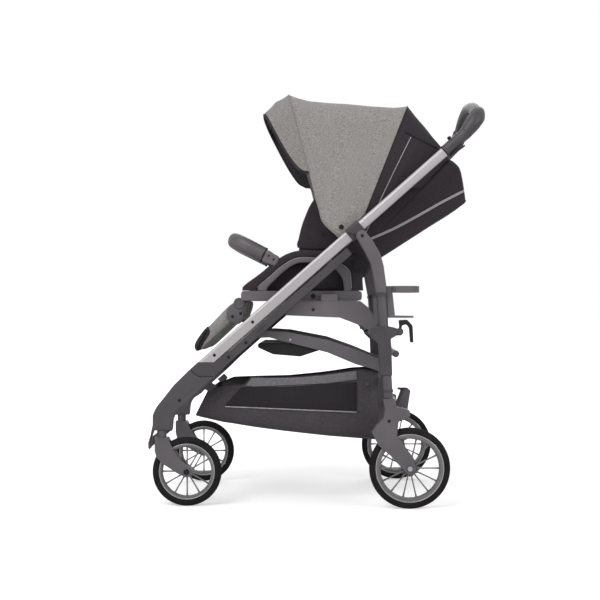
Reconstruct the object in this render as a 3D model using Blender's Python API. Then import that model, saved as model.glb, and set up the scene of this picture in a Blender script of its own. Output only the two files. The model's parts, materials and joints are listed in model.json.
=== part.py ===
"""Reversible stroller: two hinged side frames, a lift-off seat unit with a canopy, and a basket.

Metres, +Z up. The front wheels point to -X, left is -Y, and the origin lies on the ground.
Side-view places are written in millimetres and turned to metres by mm() or mm_points().
"""
import math

import bmesh
import bpy
from mathutils import Matrix, Vector

MM = 0.001
CLEARANCE = 0.0003
ORIGIN_SHIFT = 0.00555
SIDES = (("left", -1), ("right", 1))

# Rail line in side view
RAIL_ANGLE = math.radians(41.5)
RAIL_FOOT = (-0.2919, 0.3774)
RAIL_LENGTH = 0.535
RAIL_DEPTH = 0.030
RAIL_WIDTH = 0.027
RAIL_WALL = 0.0015
RAIL_SLOT = 0.008
RAIL_Y = 0.215

# Telescoping handle
HANDLE_TUBE_START = RAIL_LENGTH - 0.095
SLEEVE_START = 0.832
SLEEVE_END = SLEEVE_START + 0.074
SLEEVE_RADIUS = 0.0155
CROSSBAR_U = SLEEVE_END + 0.051
CROSSBAR_V = 0.012
CROSSBAR_RADIUS = 0.0118
CROSSBAR_RISE = 0.0560
CROSSBAR_STEPS = 12
ELBOW_RADIUS = 0.032
GRIP_RADIUS = 0.0165
GRIP_HALF_LENGTH = 0.172
LEVER_REACH = 0.046
LEVER_THICKNESS = 0.004
LEVER_WIDTH = 0.020

# Collar that carries the fold pivot
COLLAR_WALL = 0.003
COLLAR_START = RAIL_LENGTH - 0.037
COLLAR_LENGTH = 0.043
EAR_THICKNESS = 0.0045
FOLD_PIN_RADIUS = 0.006

# Sub rail below the rail
SUB_RAIL_DROP = 0.0036
SUB_RAIL_DEPTH = 0.022
SUB_RAIL_WIDTH = 0.025
SUB_RAIL_TOP = RAIL_LENGTH - 0.061

# Pivots in side view
FOLD_PIVOT = (0.1145, 0.7060)
LINK_PIVOT = (0.1775, 0.3630)
SEAT_PIVOT = (0.1480, 0.4540)
PIVOT_PIN_RADIUS = 0.0045
BOSS_RADIUS = 0.0055
LINK_REACH_U = 0.140
BAR_LENGTH = 0.240
PIVOT_V = -0.030

# Slabs across the frame, as distances from the middle plane
LINK_INNER = 0.1785
LINK_THICKNESS = 0.008
BAR_INNER = 0.1880
BAR_THICKNESS = 0.008
SEAT_HALF_WIDTH = 0.1755

# Rear leg and wheels
LEG_Y = 0.2565
LEG_RADIUS = 0.0135
LEG_TOP = (0.1640, 0.5550)
LEG_BOTTOM = (0.1812, 0.2870)
ARCH_THICKNESS = 0.028
CLAMP_THICKNESS = 0.030
REAR_AXLE = (0.2375, 0.1050)
REAR_WHEEL_RADIUS = 0.1050
REAR_WHEEL_Y = 0.2585
REAR_RIM_RADIUS = 0.0890
REAR_RIM_DEPTH = 0.0137
REAR_SPOKES = 14
REAR_FORK_THICKNESS = 0.034
CROSS_TUBE = (0.2030, 0.4000)
CROSS_TUBE_RADIUS = 0.009

# Front fork and wheels
SWIVEL_X = -0.4103
FRONT_AXLE = (-0.3437, 0.0905)
FRONT_WHEEL_RADIUS = 0.0905
FRONT_RIM_RADIUS = 0.0736
FRONT_RIM_DEPTH = 0.0106
FRONT_SPOKES = 12
FRONT_FORK_THICKNESS = 0.033
FORK_CROWN_TOP = 0.180
HOUSING_BOTTOM = 0.1985
HOUSING_THICKNESS = 0.030
SWIVEL_PIN_RADIUS = 0.006
SWIVEL_PIN_LENGTH = 0.021
SWIVEL_BOSS_RADIUS = 0.0125

# Wheels in general
TYRE_WIDTH = 0.023
FORK_ARM = 0.004
WHEEL_GAP = 0.003
SPOKE_WIDTH = 0.0034
WEB_THICKNESS = 0.005
WHEEL_SEGMENTS = 32
HUB_RADIUS = 0.012
HUB_WIDTH = 0.023
AXLE_RADIUS = 0.004
AXLE_HEAD_RADIUS = 0.0075
AXLE_HEAD_LENGTH = 0.003
GEAR_RADIUS = 0.024
GEAR_TEETH = 12
GEAR_THICKNESS = 0.003

# Brake across the rear
BRAKE_PIVOT = (0.2240, 0.2470)
BRAKE_RADIUS = 0.008
PEDAL_Y = (-0.190, -0.110)
PEDAL_HEIGHT = 0.056
PEDAL_DEPTH = 0.020

# Cup holder on the left leg
CUP_CENTRE = (0.2260, 0.5680)
CUP_Y = -0.2405
CUP_RADIUS = 0.038
CUP_WALL = 0.004
CUP_RIM_HEIGHT = 0.017
CUP_DROP = 0.074

# Fold lever behind the left clamp
LEVER_PIVOT = (0.2110, 0.4580)
LEVER_PIN_RADIUS = 0.0025
LEVER_SLAB = (0.2485, 0.2645)

# Basket
BASKET_HALF_WIDTH = 0.1755
BASKET_WALL = 0.004

# Seat unit
SEAT_UNDERSIDE = 0.5390
SEAT_TOP = 0.5650
CUSHION_HEIGHT = 0.030
CUSHION_HALF_WIDTH = 0.134
HOOP_INNER = 0.1522
BACK_HALF_WIDTH = 0.1500
BACK_PIVOT = (0.1050, 0.6330)
BACK_PIN_RADIUS = 0.006
WING_INNER = 0.1380
PAD_THICKNESS = 0.022
LEGREST_PIVOT = (-0.2130, 0.5320)
LEGREST_HALF_WIDTH = 0.1480
BUMPER_Y = 0.1580
BUMPER_RADIUS = 0.0200
BUMPER_FACE = (-0.1410, 0.6590)
BUMPER_ANGLE = math.radians(153)
BUMPER_REACH = 0.092

# Canopy
CANOPY_PIVOT = (0.0530, 0.7110)
CANOPY_HALF_WIDTH = 0.1900
CANOPY_CROWN = 0.014
CANOPY_WALL = 0.004
BOW_RADIUS = 0.004
CANOPY_PIN_RADIUS = 0.008

RAIL_DIRECTION = (math.cos(RAIL_ANGLE), math.sin(RAIL_ANGLE))


def mm_points(*points):
    """Side-view points given in millimetres, in metres."""
    return [(x * MM, z * MM) for x, z in points]


def on_rail(u, v):
    """The side-view point that lies u along the rail and v square above its centre line."""
    c, s = RAIL_DIRECTION
    return (RAIL_FOOT[0] + u * c - v * s, RAIL_FOOT[1] + u * s + v * c)


def rail_points(*points):
    """Side-view points from places along and above the rail, given in millimetres."""
    return [on_rail(u * MM, v * MM) for u, v in points]


def to_rail(point):
    """The place of a side-view point along and above the rail."""
    c, s = RAIL_DIRECTION
    dx, dz = point[0] - RAIL_FOOT[0], point[1] - RAIL_FOOT[1]
    return (dx * c + dz * s, dz * c - dx * s)


def arc(centre, radius, start, end, steps):
    """Points on an arc, between two angles in degrees."""
    points = []
    for i in range(steps + 1):
        a = math.radians(start + (end - start) * i / steps)
        points.append((centre[0] + radius * math.cos(a), centre[1] + radius * math.sin(a)))
    return points


def rounded(points, radius, steps=3):
    """The outline with each corner turned into a short curve."""
    result = []
    count = len(points)
    for i in range(count):
        corner = Vector(points[i])
        before = Vector(points[i - 1]) - corner
        after = Vector(points[(i + 1) % count]) - corner
        reach = min(radius, before.length * 0.45, after.length * 0.45)
        start = corner + before.normalized() * reach
        end = corner + after.normalized() * reach
        for step in range(steps + 1):
            t = step / steps
            point = start * (1 - t) ** 2 + corner * 2 * t * (1 - t) + end * t ** 2
            result.append((point.x, point.y))
    return result


def round_path(points, radius, steps=5):
    """An open 3-D path whose inner corners are turned into arcs of Bezier form."""
    result = [Vector(points[0])]
    for i in range(1, len(points) - 1):
        corner = Vector(points[i])
        before = Vector(points[i - 1]) - corner
        after = Vector(points[i + 1]) - corner
        reach = min(radius, before.length * 0.49, after.length * 0.49)
        start = corner + before.normalized() * reach
        end = corner + after.normalized() * reach
        for step in range(steps + 1):
            t = step / steps
            result.append(start * (1 - t) ** 2 + corner * 2 * t * (1 - t) + end * t ** 2)
    result.append(Vector(points[-1]))
    return result


def material(name, colour, roughness, metallic=0.0):
    """A Principled material with a plain colour."""
    made = bpy.data.materials.get(name)
    if made is None:
        made = bpy.data.materials.new(name)
        made.use_nodes = True
        shader = made.node_tree.nodes["Principled BSDF"]
        shader.inputs["Base Color"].default_value = (*colour, 1.0)
        shader.inputs["Roughness"].default_value = roughness
        shader.inputs["Metallic"].default_value = metallic
        made.diffuse_color = (*colour, 1.0)
    return made


def silver():
    return material("silver", (0.44, 0.42, 0.43), 0.35, 0.8)


def grey_plastic():
    return material("grey_plastic", (0.10, 0.09, 0.10), 0.5)


def dark_plastic():
    return material("dark_plastic", (0.05, 0.045, 0.05), 0.5)


def tyre_rubber():
    return material("tyre_rubber", (0.013, 0.012, 0.013), 0.8)


def melange_fabric():
    return material("melange_fabric", (0.30, 0.28, 0.27), 0.95)


def dark_fabric():
    return material("dark_fabric", (0.035, 0.03, 0.035), 0.95)


def leatherette():
    return material("leatherette", (0.075, 0.065, 0.07), 0.5)


def finish(name, bm, look):
    """Turn a bmesh into a named object with its faces pointing out."""
    bmesh.ops.remove_doubles(bm, verts=bm.verts, dist=1e-6)
    bmesh.ops.recalc_face_normals(bm, faces=bm.faces)
    mesh = bpy.data.meshes.new(name)
    bm.to_mesh(mesh)
    bm.free()
    mesh.materials.append(look)
    mesh.shade_smooth()
    mesh.set_sharp_from_angle(angle=math.radians(35))
    made = bpy.data.objects.new(name, mesh)
    bpy.context.scene.collection.objects.link(made)
    return made


def prism(name, outline, low, high, look, bevel=0.0):
    """A side-view outline carried straight across the stroller from low to high in Y."""
    bm = bmesh.new()
    near = [bm.verts.new((x, low, z)) for x, z in outline]
    far = [bm.verts.new((x, high, z)) for x, z in outline]
    bm.faces.new(near)
    bm.faces.new(list(reversed(far)))
    count = len(outline)
    for i in range(count):
        j = (i + 1) % count
        bm.faces.new((near[i], far[i], far[j], near[j]))
    made = finish(name, bm, look)
    if bevel:
        edge = made.modifiers.new("edge", "BEVEL")
        edge.width = bevel
        edge.segments = 1
        edge.limit_method = "ANGLE"
        edge.angle_limit = math.radians(50)
    return made


def side_prism(name, outline, side, inner, outer, look, bevel=0.0):
    """A prism between two distances from the middle plane, on one side of the stroller."""
    low, high = sorted((side * inner, side * outer))
    return prism(name, outline, low, high, look, bevel)


def sweep(name, path, radii, look, segments=14):
    """A round bar along a 3-D path, with one radius for each point of the path."""
    bm = bmesh.new()
    rings = []
    count = len(path)
    up = Vector((0.0, 0.0, 1.0))
    for i, point in enumerate(path):
        ahead = path[min(i + 1, count - 1)] - path[max(i - 1, 0)]
        ahead.normalize()
        across = ahead.cross(up)
        if across.length < 0.1:
            across = ahead.cross(Vector((1.0, 0.0, 0.0)))
        across.normalize()
        if rings and across.dot(last_across) < 0:
            across = -across
        last_across = across
        lift = across.cross(ahead)
        ring = []
        for k in range(segments):
            a = 2 * math.pi * k / segments
            offset = across * math.cos(a) + lift * math.sin(a)
            ring.append(bm.verts.new(point + offset * radii[i]))
        rings.append(ring)
    for first, second in zip(rings, rings[1:]):
        for k in range(segments):
            n = (k + 1) % segments
            bm.faces.new((first[k], first[n], second[n], second[k]))
    bm.faces.new(rings[0])
    bm.faces.new(list(reversed(rings[-1])))
    return finish(name, bm, look)


def turned(name, profile, centre, look, segments=40, axis="Y"):
    """A closed profile of (radius, height) points spun about an axis through the centre."""
    bm = bmesh.new()
    rings = []
    for k in range(segments):
        a = 2 * math.pi * k / segments
        ring = []
        for radius, height in profile:
            if axis == "Y":
                place = (radius * math.cos(a), height, radius * math.sin(a))
            else:
                place = (radius * math.cos(a), radius * math.sin(a), height)
            ring.append(bm.verts.new(Vector(place) + Vector(centre)))
        rings.append(ring)
    count = len(profile)
    for k in range(segments):
        first, second = rings[k], rings[(k + 1) % segments]
        for i in range(count):
            j = (i + 1) % count
            if profile[i][0] == 0.0 and profile[j][0] == 0.0:
                continue
            corners = [first[i], first[j]]
            if profile[j][0] != 0.0:
                corners.append(second[j])
            if profile[i][0] != 0.0:
                corners.append(second[i])
            bm.faces.new(corners)
    return finish(name, bm, look)


def rod(name, place, low, high, radius, look, segments=16):
    """A plain rod along Y through a side-view place."""
    low, high = sorted((low, high))
    profile = [(0.0, low), (radius, low), (radius, high), (0.0, high)]
    return turned(name, profile, (place[0], 0.0, place[1]), look, segments)


def box(name, low, high, look, bevel=0.0):
    """A plain block between two corners."""
    outline = [(low[0], low[2]), (high[0], low[2]), (high[0], high[2]), (low[0], high[2])]
    return prism(name, outline, low[1], high[1], look, bevel)


def as_tool(tool):
    """Hide an object that only shapes another."""
    tool.hide_render = True
    tool.display_type = "WIRE"
    return tool


def shape(made, tool, operation):
    """Cut a tool out of an object, or join it on."""
    change = made.modifiers.new(tool.name, "BOOLEAN")
    change.operation = operation
    change.solver = "EXACT"
    change.object = as_tool(tool)


def cut(made, tool):
    shape(made, tool, "DIFFERENCE")


def join(made, tool):
    shape(made, tool, "UNION")


def rounded_box_profile(depth, width, radius, centre_y, steps=3):
    """A rounded rectangle of (v, y) points around the rail line."""
    v, y = depth / 2, width / 2
    corners = [(-v, -y), (v, -y), (v, y), (-v, y)]
    return [(v, centre_y + y) for v, y in rounded(corners, radius, steps)]


def rail_extrusion(name, profile, start, end, look, hole=None, bevelled_foot=False):
    """A (v, y) profile carried along the rail, with an optional second loop as a bore."""
    bm = bmesh.new()
    slope = 1 / math.tan(RAIL_ANGLE) if bevelled_foot else 0.0
    loops = [profile] if hole is None else [profile, hole]
    ends = [[], []]
    for loop in loops:
        rings = []
        for index, u in enumerate((start, end)):
            ring = []
            for v, y in loop:
                along = u - v * slope if index == 0 else u
                x, z = on_rail(along, v)
                ring.append(bm.verts.new((x, y, z)))
            rings.append(ring)
        count = len(loop)
        for i in range(count):
            j = (i + 1) % count
            bm.faces.new((rings[0][i], rings[1][i], rings[1][j], rings[0][j]))
        for index in (0, 1):
            ring = rings[index]
            ends[index].extend(bm.edges.get((ring[i], ring[(i + 1) % count])) for i in range(count))
    for edges in ends:
        bmesh.ops.triangle_fill(bm, edges=edges, use_beauty=True)
    return finish(name, bm, look)


def wheel_rim(name, axle, y, radius, depth, spokes, look, gear_side=0):
    """A rim, its web with a window between each pair of spokes, and a hub with a bore."""
    half = TYRE_WIDTH / 2 - 0.002
    web = WEB_THICKNESS / 2
    hub = HUB_WIDTH / 2
    inner = radius - depth
    bore = AXLE_RADIUS + CLEARANCE
    profile = [
        (bore, -hub), (HUB_RADIUS, -hub), (HUB_RADIUS, -web), (inner, -web), (inner + 0.002, -half), (radius, -half),
        (radius, half), (inner + 0.002, half), (inner, web), (HUB_RADIUS, web), (HUB_RADIUS, hub), (bore, hub),
    ]
    centre = (axle[0], y, axle[1])
    rim = turned(name, profile, centre, look, segments=WHEEL_SEGMENTS)
    windows = bmesh.new()
    low_radius, high_radius = HUB_RADIUS + 0.004, inner - 0.001
    for k in range(spokes):
        middle = 2 * math.pi * (k + 0.5) / spokes
        step = math.pi / spokes
        outline = []
        for window_radius, order in ((low_radius, (-1, 1)), (high_radius, (1, 0, -1))):
            reach = step - SPOKE_WIDTH / 2 / window_radius
            outline.extend((window_radius, middle + side * reach) for side in order)
        near = []
        far = []
        for window_radius, angle in outline:
            x = centre[0] + window_radius * math.cos(angle)
            z = centre[2] + window_radius * math.sin(angle)
            near.append(windows.verts.new((x, y - half, z)))
            far.append(windows.verts.new((x, y + half, z)))
        windows.faces.new(near)
        windows.faces.new(list(reversed(far)))
        for i in range(len(near)):
            j = (i + 1) % len(near)
            windows.faces.new((near[i], far[i], far[j], near[j]))
    cut(rim, finish(name + "_windows", windows, look))
    if gear_side:
        teeth = []
        for k in range(GEAR_TEETH * 4):
            angle = 2 * math.pi * k / (GEAR_TEETH * 4)
            reach = GEAR_RADIUS if k % 4 < 2 else GEAR_RADIUS - 0.004
            teeth.append((axle[0] + reach * math.cos(angle), axle[1] + reach * math.sin(angle)))
        face = y + gear_side * (hub - 0.001)
        low, high = sorted((face, face - gear_side * GEAR_THICKNESS))
        gear = prism(name + "_gear", teeth, low, high, look)
        bore_rod = rod(name + "_gear_bore", axle, low - 0.001, high + 0.001, HUB_RADIUS - 0.003, look)
        cut(gear, bore_rod)
        join(rim, gear)
    return rim


def tyre(name, axle, y, radius, rim_radius):
    """A tyre of D section that sits around the rim."""
    half = TYRE_WIDTH / 2
    seat = rim_radius + CLEARANCE
    shoulder = radius - 0.007
    profile = [(seat, -half + 0.002), (shoulder, -half), (radius, -half * 0.45), (radius, half * 0.45),
               (shoulder, half), (seat, half - 0.002)]
    return turned(name, profile, (axle[0], y, axle[1]), tyre_rubber(), segments=WHEEL_SEGMENTS)


def axle_bolt(name, axle, y, side, fork_thickness):
    """A bolt through both fork arms and the hub, with its head on the outside."""
    inner = y - side * fork_thickness / 2
    outer = y + side * (fork_thickness / 2 + CLEARANCE)
    tip = outer + side * AXLE_HEAD_LENGTH
    profile = [(0.0, inner), (AXLE_RADIUS, inner), (AXLE_RADIUS, outer), (AXLE_HEAD_RADIUS, outer),
               (AXLE_HEAD_RADIUS - 0.001, tip), (0.0, tip)]
    return turned(name, profile, (axle[0], 0.0, axle[1]), silver(), segments=12)


def wheel_room(name, axle, y, radius, fork_thickness):
    """The space that a fork leaves for its wheel."""
    half = fork_thickness / 2 - FORK_ARM
    return rod(name, axle, y - half, y + half, radius + WHEEL_GAP, dark_plastic(), segments=32)


def front_fork_outline():
    """The crown above the wheel and the arm down to the axle."""
    top = FORK_CROWN_TOP
    end = arc(FRONT_AXLE, 0.014, 35, -125, 6)
    arm = mm_points((-368, 87), (-403, 110), (-422, 128), (-427, 146))
    crown = [(-0.4273, top), (-0.3930, top)]
    return crown + mm_points((-383, 158), (-366, 129)) + end + arm


def build_front_wheel(label, side):
    """Fork, axle, rim and tyre of one front wheel, all around the swivel axis."""
    y = side * RAIL_Y
    half = FRONT_FORK_THICKNESS / 2
    fork = prism(f"front_fork_{label}", front_fork_outline(), y - half, y + half, grey_plastic())
    cut(fork, wheel_room(f"front_room_{label}", FRONT_AXLE, y, FRONT_WHEEL_RADIUS, FRONT_FORK_THICKNESS))
    pin_top = HOUSING_BOTTOM + SWIVEL_PIN_LENGTH - CLEARANCE
    boss_top = HOUSING_BOTTOM - CLEARANCE
    profile = [(0.0, FORK_CROWN_TOP - 0.006), (SWIVEL_BOSS_RADIUS, FORK_CROWN_TOP - 0.006),
               (SWIVEL_BOSS_RADIUS, boss_top), (SWIVEL_PIN_RADIUS, boss_top),
               (SWIVEL_PIN_RADIUS, pin_top), (0.0, pin_top)]
    join(fork, turned(f"swivel_pin_{label}", profile, (SWIVEL_X, y, 0.0), grey_plastic(), 24, "Z"))
    bore = AXLE_RADIUS + CLEARANCE
    cut(fork, rod(f"front_axle_hole_{label}", FRONT_AXLE, y - 0.03, y + 0.03, bore, grey_plastic()))
    axle_bolt(f"front_axle_{label}", FRONT_AXLE, y, side, FRONT_FORK_THICKNESS)
    wheel_rim(f"front_rim_{label}", FRONT_AXLE, y, FRONT_RIM_RADIUS, FRONT_RIM_DEPTH, FRONT_SPOKES, silver())
    tyre(f"front_tyre_{label}", FRONT_AXLE, y, FRONT_WHEEL_RADIUS, FRONT_RIM_RADIUS)


FOOT_SEAM = ((-45, 15), (-45, 1), (-40, -16), (-9, -43))


def build_front_frame(label, side):
    """Silver rail, sub rail with its foot, and the housing above the swivel."""
    y = side * RAIL_Y
    half_depth, half_width = RAIL_DEPTH / 2, RAIL_WIDTH / 2
    outer = rounded_box_profile(RAIL_DEPTH, RAIL_WIDTH, 0.006, y)
    inner = rounded_box_profile(RAIL_DEPTH - 2 * RAIL_WALL, RAIL_WIDTH - 2 * RAIL_WALL, 0.0045, y)
    rail = rail_extrusion(f"lower_rail_{label}", outer, 0.0, RAIL_LENGTH, silver(), inner, bevelled_foot=True)
    slot = [(-half_depth - 0.002, y - RAIL_SLOT / 2), (-half_depth - 0.002, y + RAIL_SLOT / 2),
            (-half_depth + RAIL_WALL + 0.002, y + RAIL_SLOT / 2), (-half_depth + RAIL_WALL + 0.002, y - RAIL_SLOT / 2)]
    cut(rail, rail_extrusion(f"rail_slot_{label}", slot, 0.08, RAIL_LENGTH + 0.01, silver()))

    top = -(half_depth + SUB_RAIL_DROP) / MM
    bottom = top - SUB_RAIL_DEPTH / MM
    end = SUB_RAIL_TOP / MM
    gap = CLEARANCE / MM
    rail_edge = -half_depth / MM - gap
    bevel = 1 / math.tan(RAIL_ANGLE)
    foot = [(-45 + gap, 15), (-15 * bevel - gap, 15), (-rail_edge * bevel - gap, rail_edge), (60, rail_edge), (60, top)]
    tail = [(end, top), (end, bottom), (46, bottom), (-9 + gap, -43), (-40 + gap, -16), (-45 + gap, 1)]
    outline = rail_points(*foot, *tail)
    sub_half = SUB_RAIL_WIDTH / 2
    sub = prism(f"sub_rail_{label}", outline, y - sub_half, y + sub_half, grey_plastic(), bevel=0.0012)
    link_face, bar_face = LINK_INNER + LINK_THICKNESS, BAR_INNER + BAR_THICKNESS
    for name, place, face in (("link", on_rail(LINK_REACH_U, PIVOT_V), link_face), ("bar", bar_front(), bar_face)):
        low, high = side * (face + CLEARANCE), side * (RAIL_Y - sub_half + 0.002)
        join(sub, rod(f"{name}_boss_{label}", place, low, high, BOSS_RADIUS, grey_plastic()))

    seam = [on_rail((u - 0.3) * MM, v * MM) for u, v in FOOT_SEAM]
    under = mm_points((-331, 284), (-353, 262), (-375, 247), (-382, 235), (-385, 220), (-386, 199))
    bottom_edge = [(-0.4300, HOUSING_BOTTOM)]
    lug = mm_points((-435.5, 184), (-437.5, 158), (-440, 149), (-444, 151), (-444.5, 166), (-438.5, 186))
    front = mm_points((-433, 213), (-433, 238), (-427, 253), (-420, 264), (-378, 317))
    outline = list(seam) + under + bottom_edge + lug + front
    half = HOUSING_THICKNESS / 2
    housing = prism(f"front_housing_{label}", outline, y - half, y + half, dark_plastic(), bevel=0.002)
    bore = SWIVEL_PIN_RADIUS + CLEARANCE
    profile = [(0.0, HOUSING_BOTTOM - 0.004), (bore, HOUSING_BOTTOM - 0.004),
               (bore, HOUSING_BOTTOM + SWIVEL_PIN_LENGTH), (0.0, HOUSING_BOTTOM + SWIVEL_PIN_LENGTH)]
    cut(housing, turned(f"swivel_hole_{label}", profile, (SWIVEL_X, y, 0.0), dark_plastic(), 24, "Z"))


def build_front_strut():
    """The flat strut that ties both housings together ahead of the forks."""
    half = RAIL_Y - HOUSING_THICKNESS / 2 - CLEARANCE
    outline = rounded(mm_points((-444.5, 152), (-439.5, 152), (-439.5, 176), (-444.5, 176)), 0.0015, 2)
    prism("front_strut", outline, -half, half, dark_plastic())


def build_handle(label, side):
    """Upper tube and the collar that slides on the rail with the fold pivot."""
    y = side * RAIL_Y
    room = 2 * (RAIL_WALL + CLEARANCE)
    tube_depth, tube_width = RAIL_DEPTH - room, RAIL_WIDTH - room
    profile = rounded_box_profile(tube_depth, tube_width, 0.008, y)
    rail_extrusion(f"handle_tube_{label}", profile, HANDLE_TUBE_START, SLEEVE_START, silver())

    bore_depth, bore_width = RAIL_DEPTH + 2 * CLEARANCE, RAIL_WIDTH + 2 * CLEARANCE
    bore = rounded_box_profile(bore_depth, bore_width, 0.006, y)
    shell = rounded_box_profile(bore_depth + 2 * COLLAR_WALL, bore_width + 2 * COLLAR_WALL, 0.007, y)
    end = COLLAR_START + COLLAR_LENGTH
    collar = rail_extrusion(f"collar_{label}", shell, COLLAR_START, end, dark_plastic(), bore)
    half_key = RAIL_SLOT / 2 - CLEARANCE
    key_low = -(RAIL_DEPTH / 2 + CLEARANCE + COLLAR_WALL / 2)
    key_high = -(tube_depth / 2 + CLEARANCE)
    key = [(key_low, y - half_key), (key_low, y + half_key), (key_high, y + half_key), (key_high, y - half_key)]
    join(collar, rail_extrusion(f"collar_key_{label}", key, COLLAR_START + 0.004, end - 0.004, dark_plastic()))
    ear_inner = RAIL_Y + bore_width / 2 + COLLAR_WALL - 0.001
    ear_outer = ear_inner + EAR_THICKNESS
    head = arc(FOLD_PIVOT, 0.013, 180 + 41.5 - 60, 360 + 41.5 - 30, 10)
    ear = [on_rail(end - 0.004, 0.012), on_rail(COLLAR_START + 0.004, 0.012)] + head
    join(collar, side_prism(f"collar_ear_{label}", ear, side, ear_inner, ear_outer, dark_plastic()))
    hole = FOLD_PIN_RADIUS + CLEARANCE
    cut(collar, rod(f"ear_hole_{label}", FOLD_PIVOT, side * (ear_inner - 0.0005), side * (ear_outer + 0.002), hole,
                    dark_plastic()))


def crossbar_points(half, steps):
    """Points along the crossbar, which rises from both elbows to its middle."""
    x, z = on_rail(CROSSBAR_U, CROSSBAR_V)
    points = []
    for i in range(steps + 1):
        y = half * (2 * i / steps - 1)
        points.append(Vector((x, y, z + CROSSBAR_RISE * (1 - (y / RAIL_Y) ** 2))))
    return points


def build_handle_bar():
    """Grip sleeves, elbows and arched crossbar as one bar, and the padded grip around it."""
    u_end = SLEEVE_START + CLEARANCE
    grip_line = crossbar_points(GRIP_HALF_LENGTH, CROSSBAR_STEPS)
    ends = []
    for side in (-1, 1):
        low, mid, high = on_rail(u_end, 0.0), on_rail(SLEEVE_END, 0.0), on_rail(CROSSBAR_U, CROSSBAR_V)
        start, sleeve = Vector((low[0], side * RAIL_Y, low[1])), Vector((mid[0], side * RAIL_Y, mid[1]))
        elbow = Vector((high[0], side * RAIL_Y, high[1]))
        grip_end = grip_line[0 if side < 0 else -1]
        ends.append([start, start.lerp(sleeve, 0.97)] + round_path([sleeve, elbow, grip_end], ELBOW_RADIUS, 6)[:-1])
    path = ends[0] + grip_line + ends[1][::-1]
    plain = len(ends[0]) - 5
    radii = [SLEEVE_RADIUS] * 2 + [CROSSBAR_RADIUS + 0.001] * 3
    radii += [CROSSBAR_RADIUS] * (plain * 2 + len(grip_line))
    radii += [CROSSBAR_RADIUS + 0.001] * 3 + [SLEEVE_RADIUS] * 2
    sweep("handle_bar", path, radii, grey_plastic(), segments=16)

    near_end, far_end = grip_line[0], grip_line[-1]
    grip_path = [near_end, near_end.lerp(grip_line[1], 0.12)] + grip_line[1:-1]
    grip_path += [far_end.lerp(grip_line[-2], 0.12), far_end]
    grip_radii = [GRIP_RADIUS - 0.002] + [GRIP_RADIUS] * (len(grip_path) - 2) + [GRIP_RADIUS - 0.002]
    grip = sweep("handle_grip", grip_path, grip_radii, leatherette(), segments=24)
    before, after = grip_line[0] * 2 - grip_line[1], grip_line[-1] * 2 - grip_line[-2]
    bore_path = [before] + grip_line + [after]
    bore = CROSSBAR_RADIUS + CLEARANCE * 2
    cut(grip, sweep("grip_bore", bore_path, [bore] * len(bore_path), leatherette(), segments=24))


def build_handle_lever(label, side):
    """Squeeze lever under the grip sleeve, hinged at its lower end."""
    y = side * RAIL_Y
    low = -(SLEEVE_RADIUS + CLEARANCE)
    start = SLEEVE_START + 0.006
    end = start + LEVER_REACH
    drop = 0.005
    outline = [on_rail(start, low), on_rail(start + 0.008, low), on_rail(end, low - drop),
               on_rail(end, low - drop - LEVER_THICKNESS), on_rail(start, low - LEVER_THICKNESS)]
    half = LEVER_WIDTH / 2
    prism(f"handle_lever_{label}", outline, y - half, y + half, dark_plastic(), bevel=0.0008)


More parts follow.
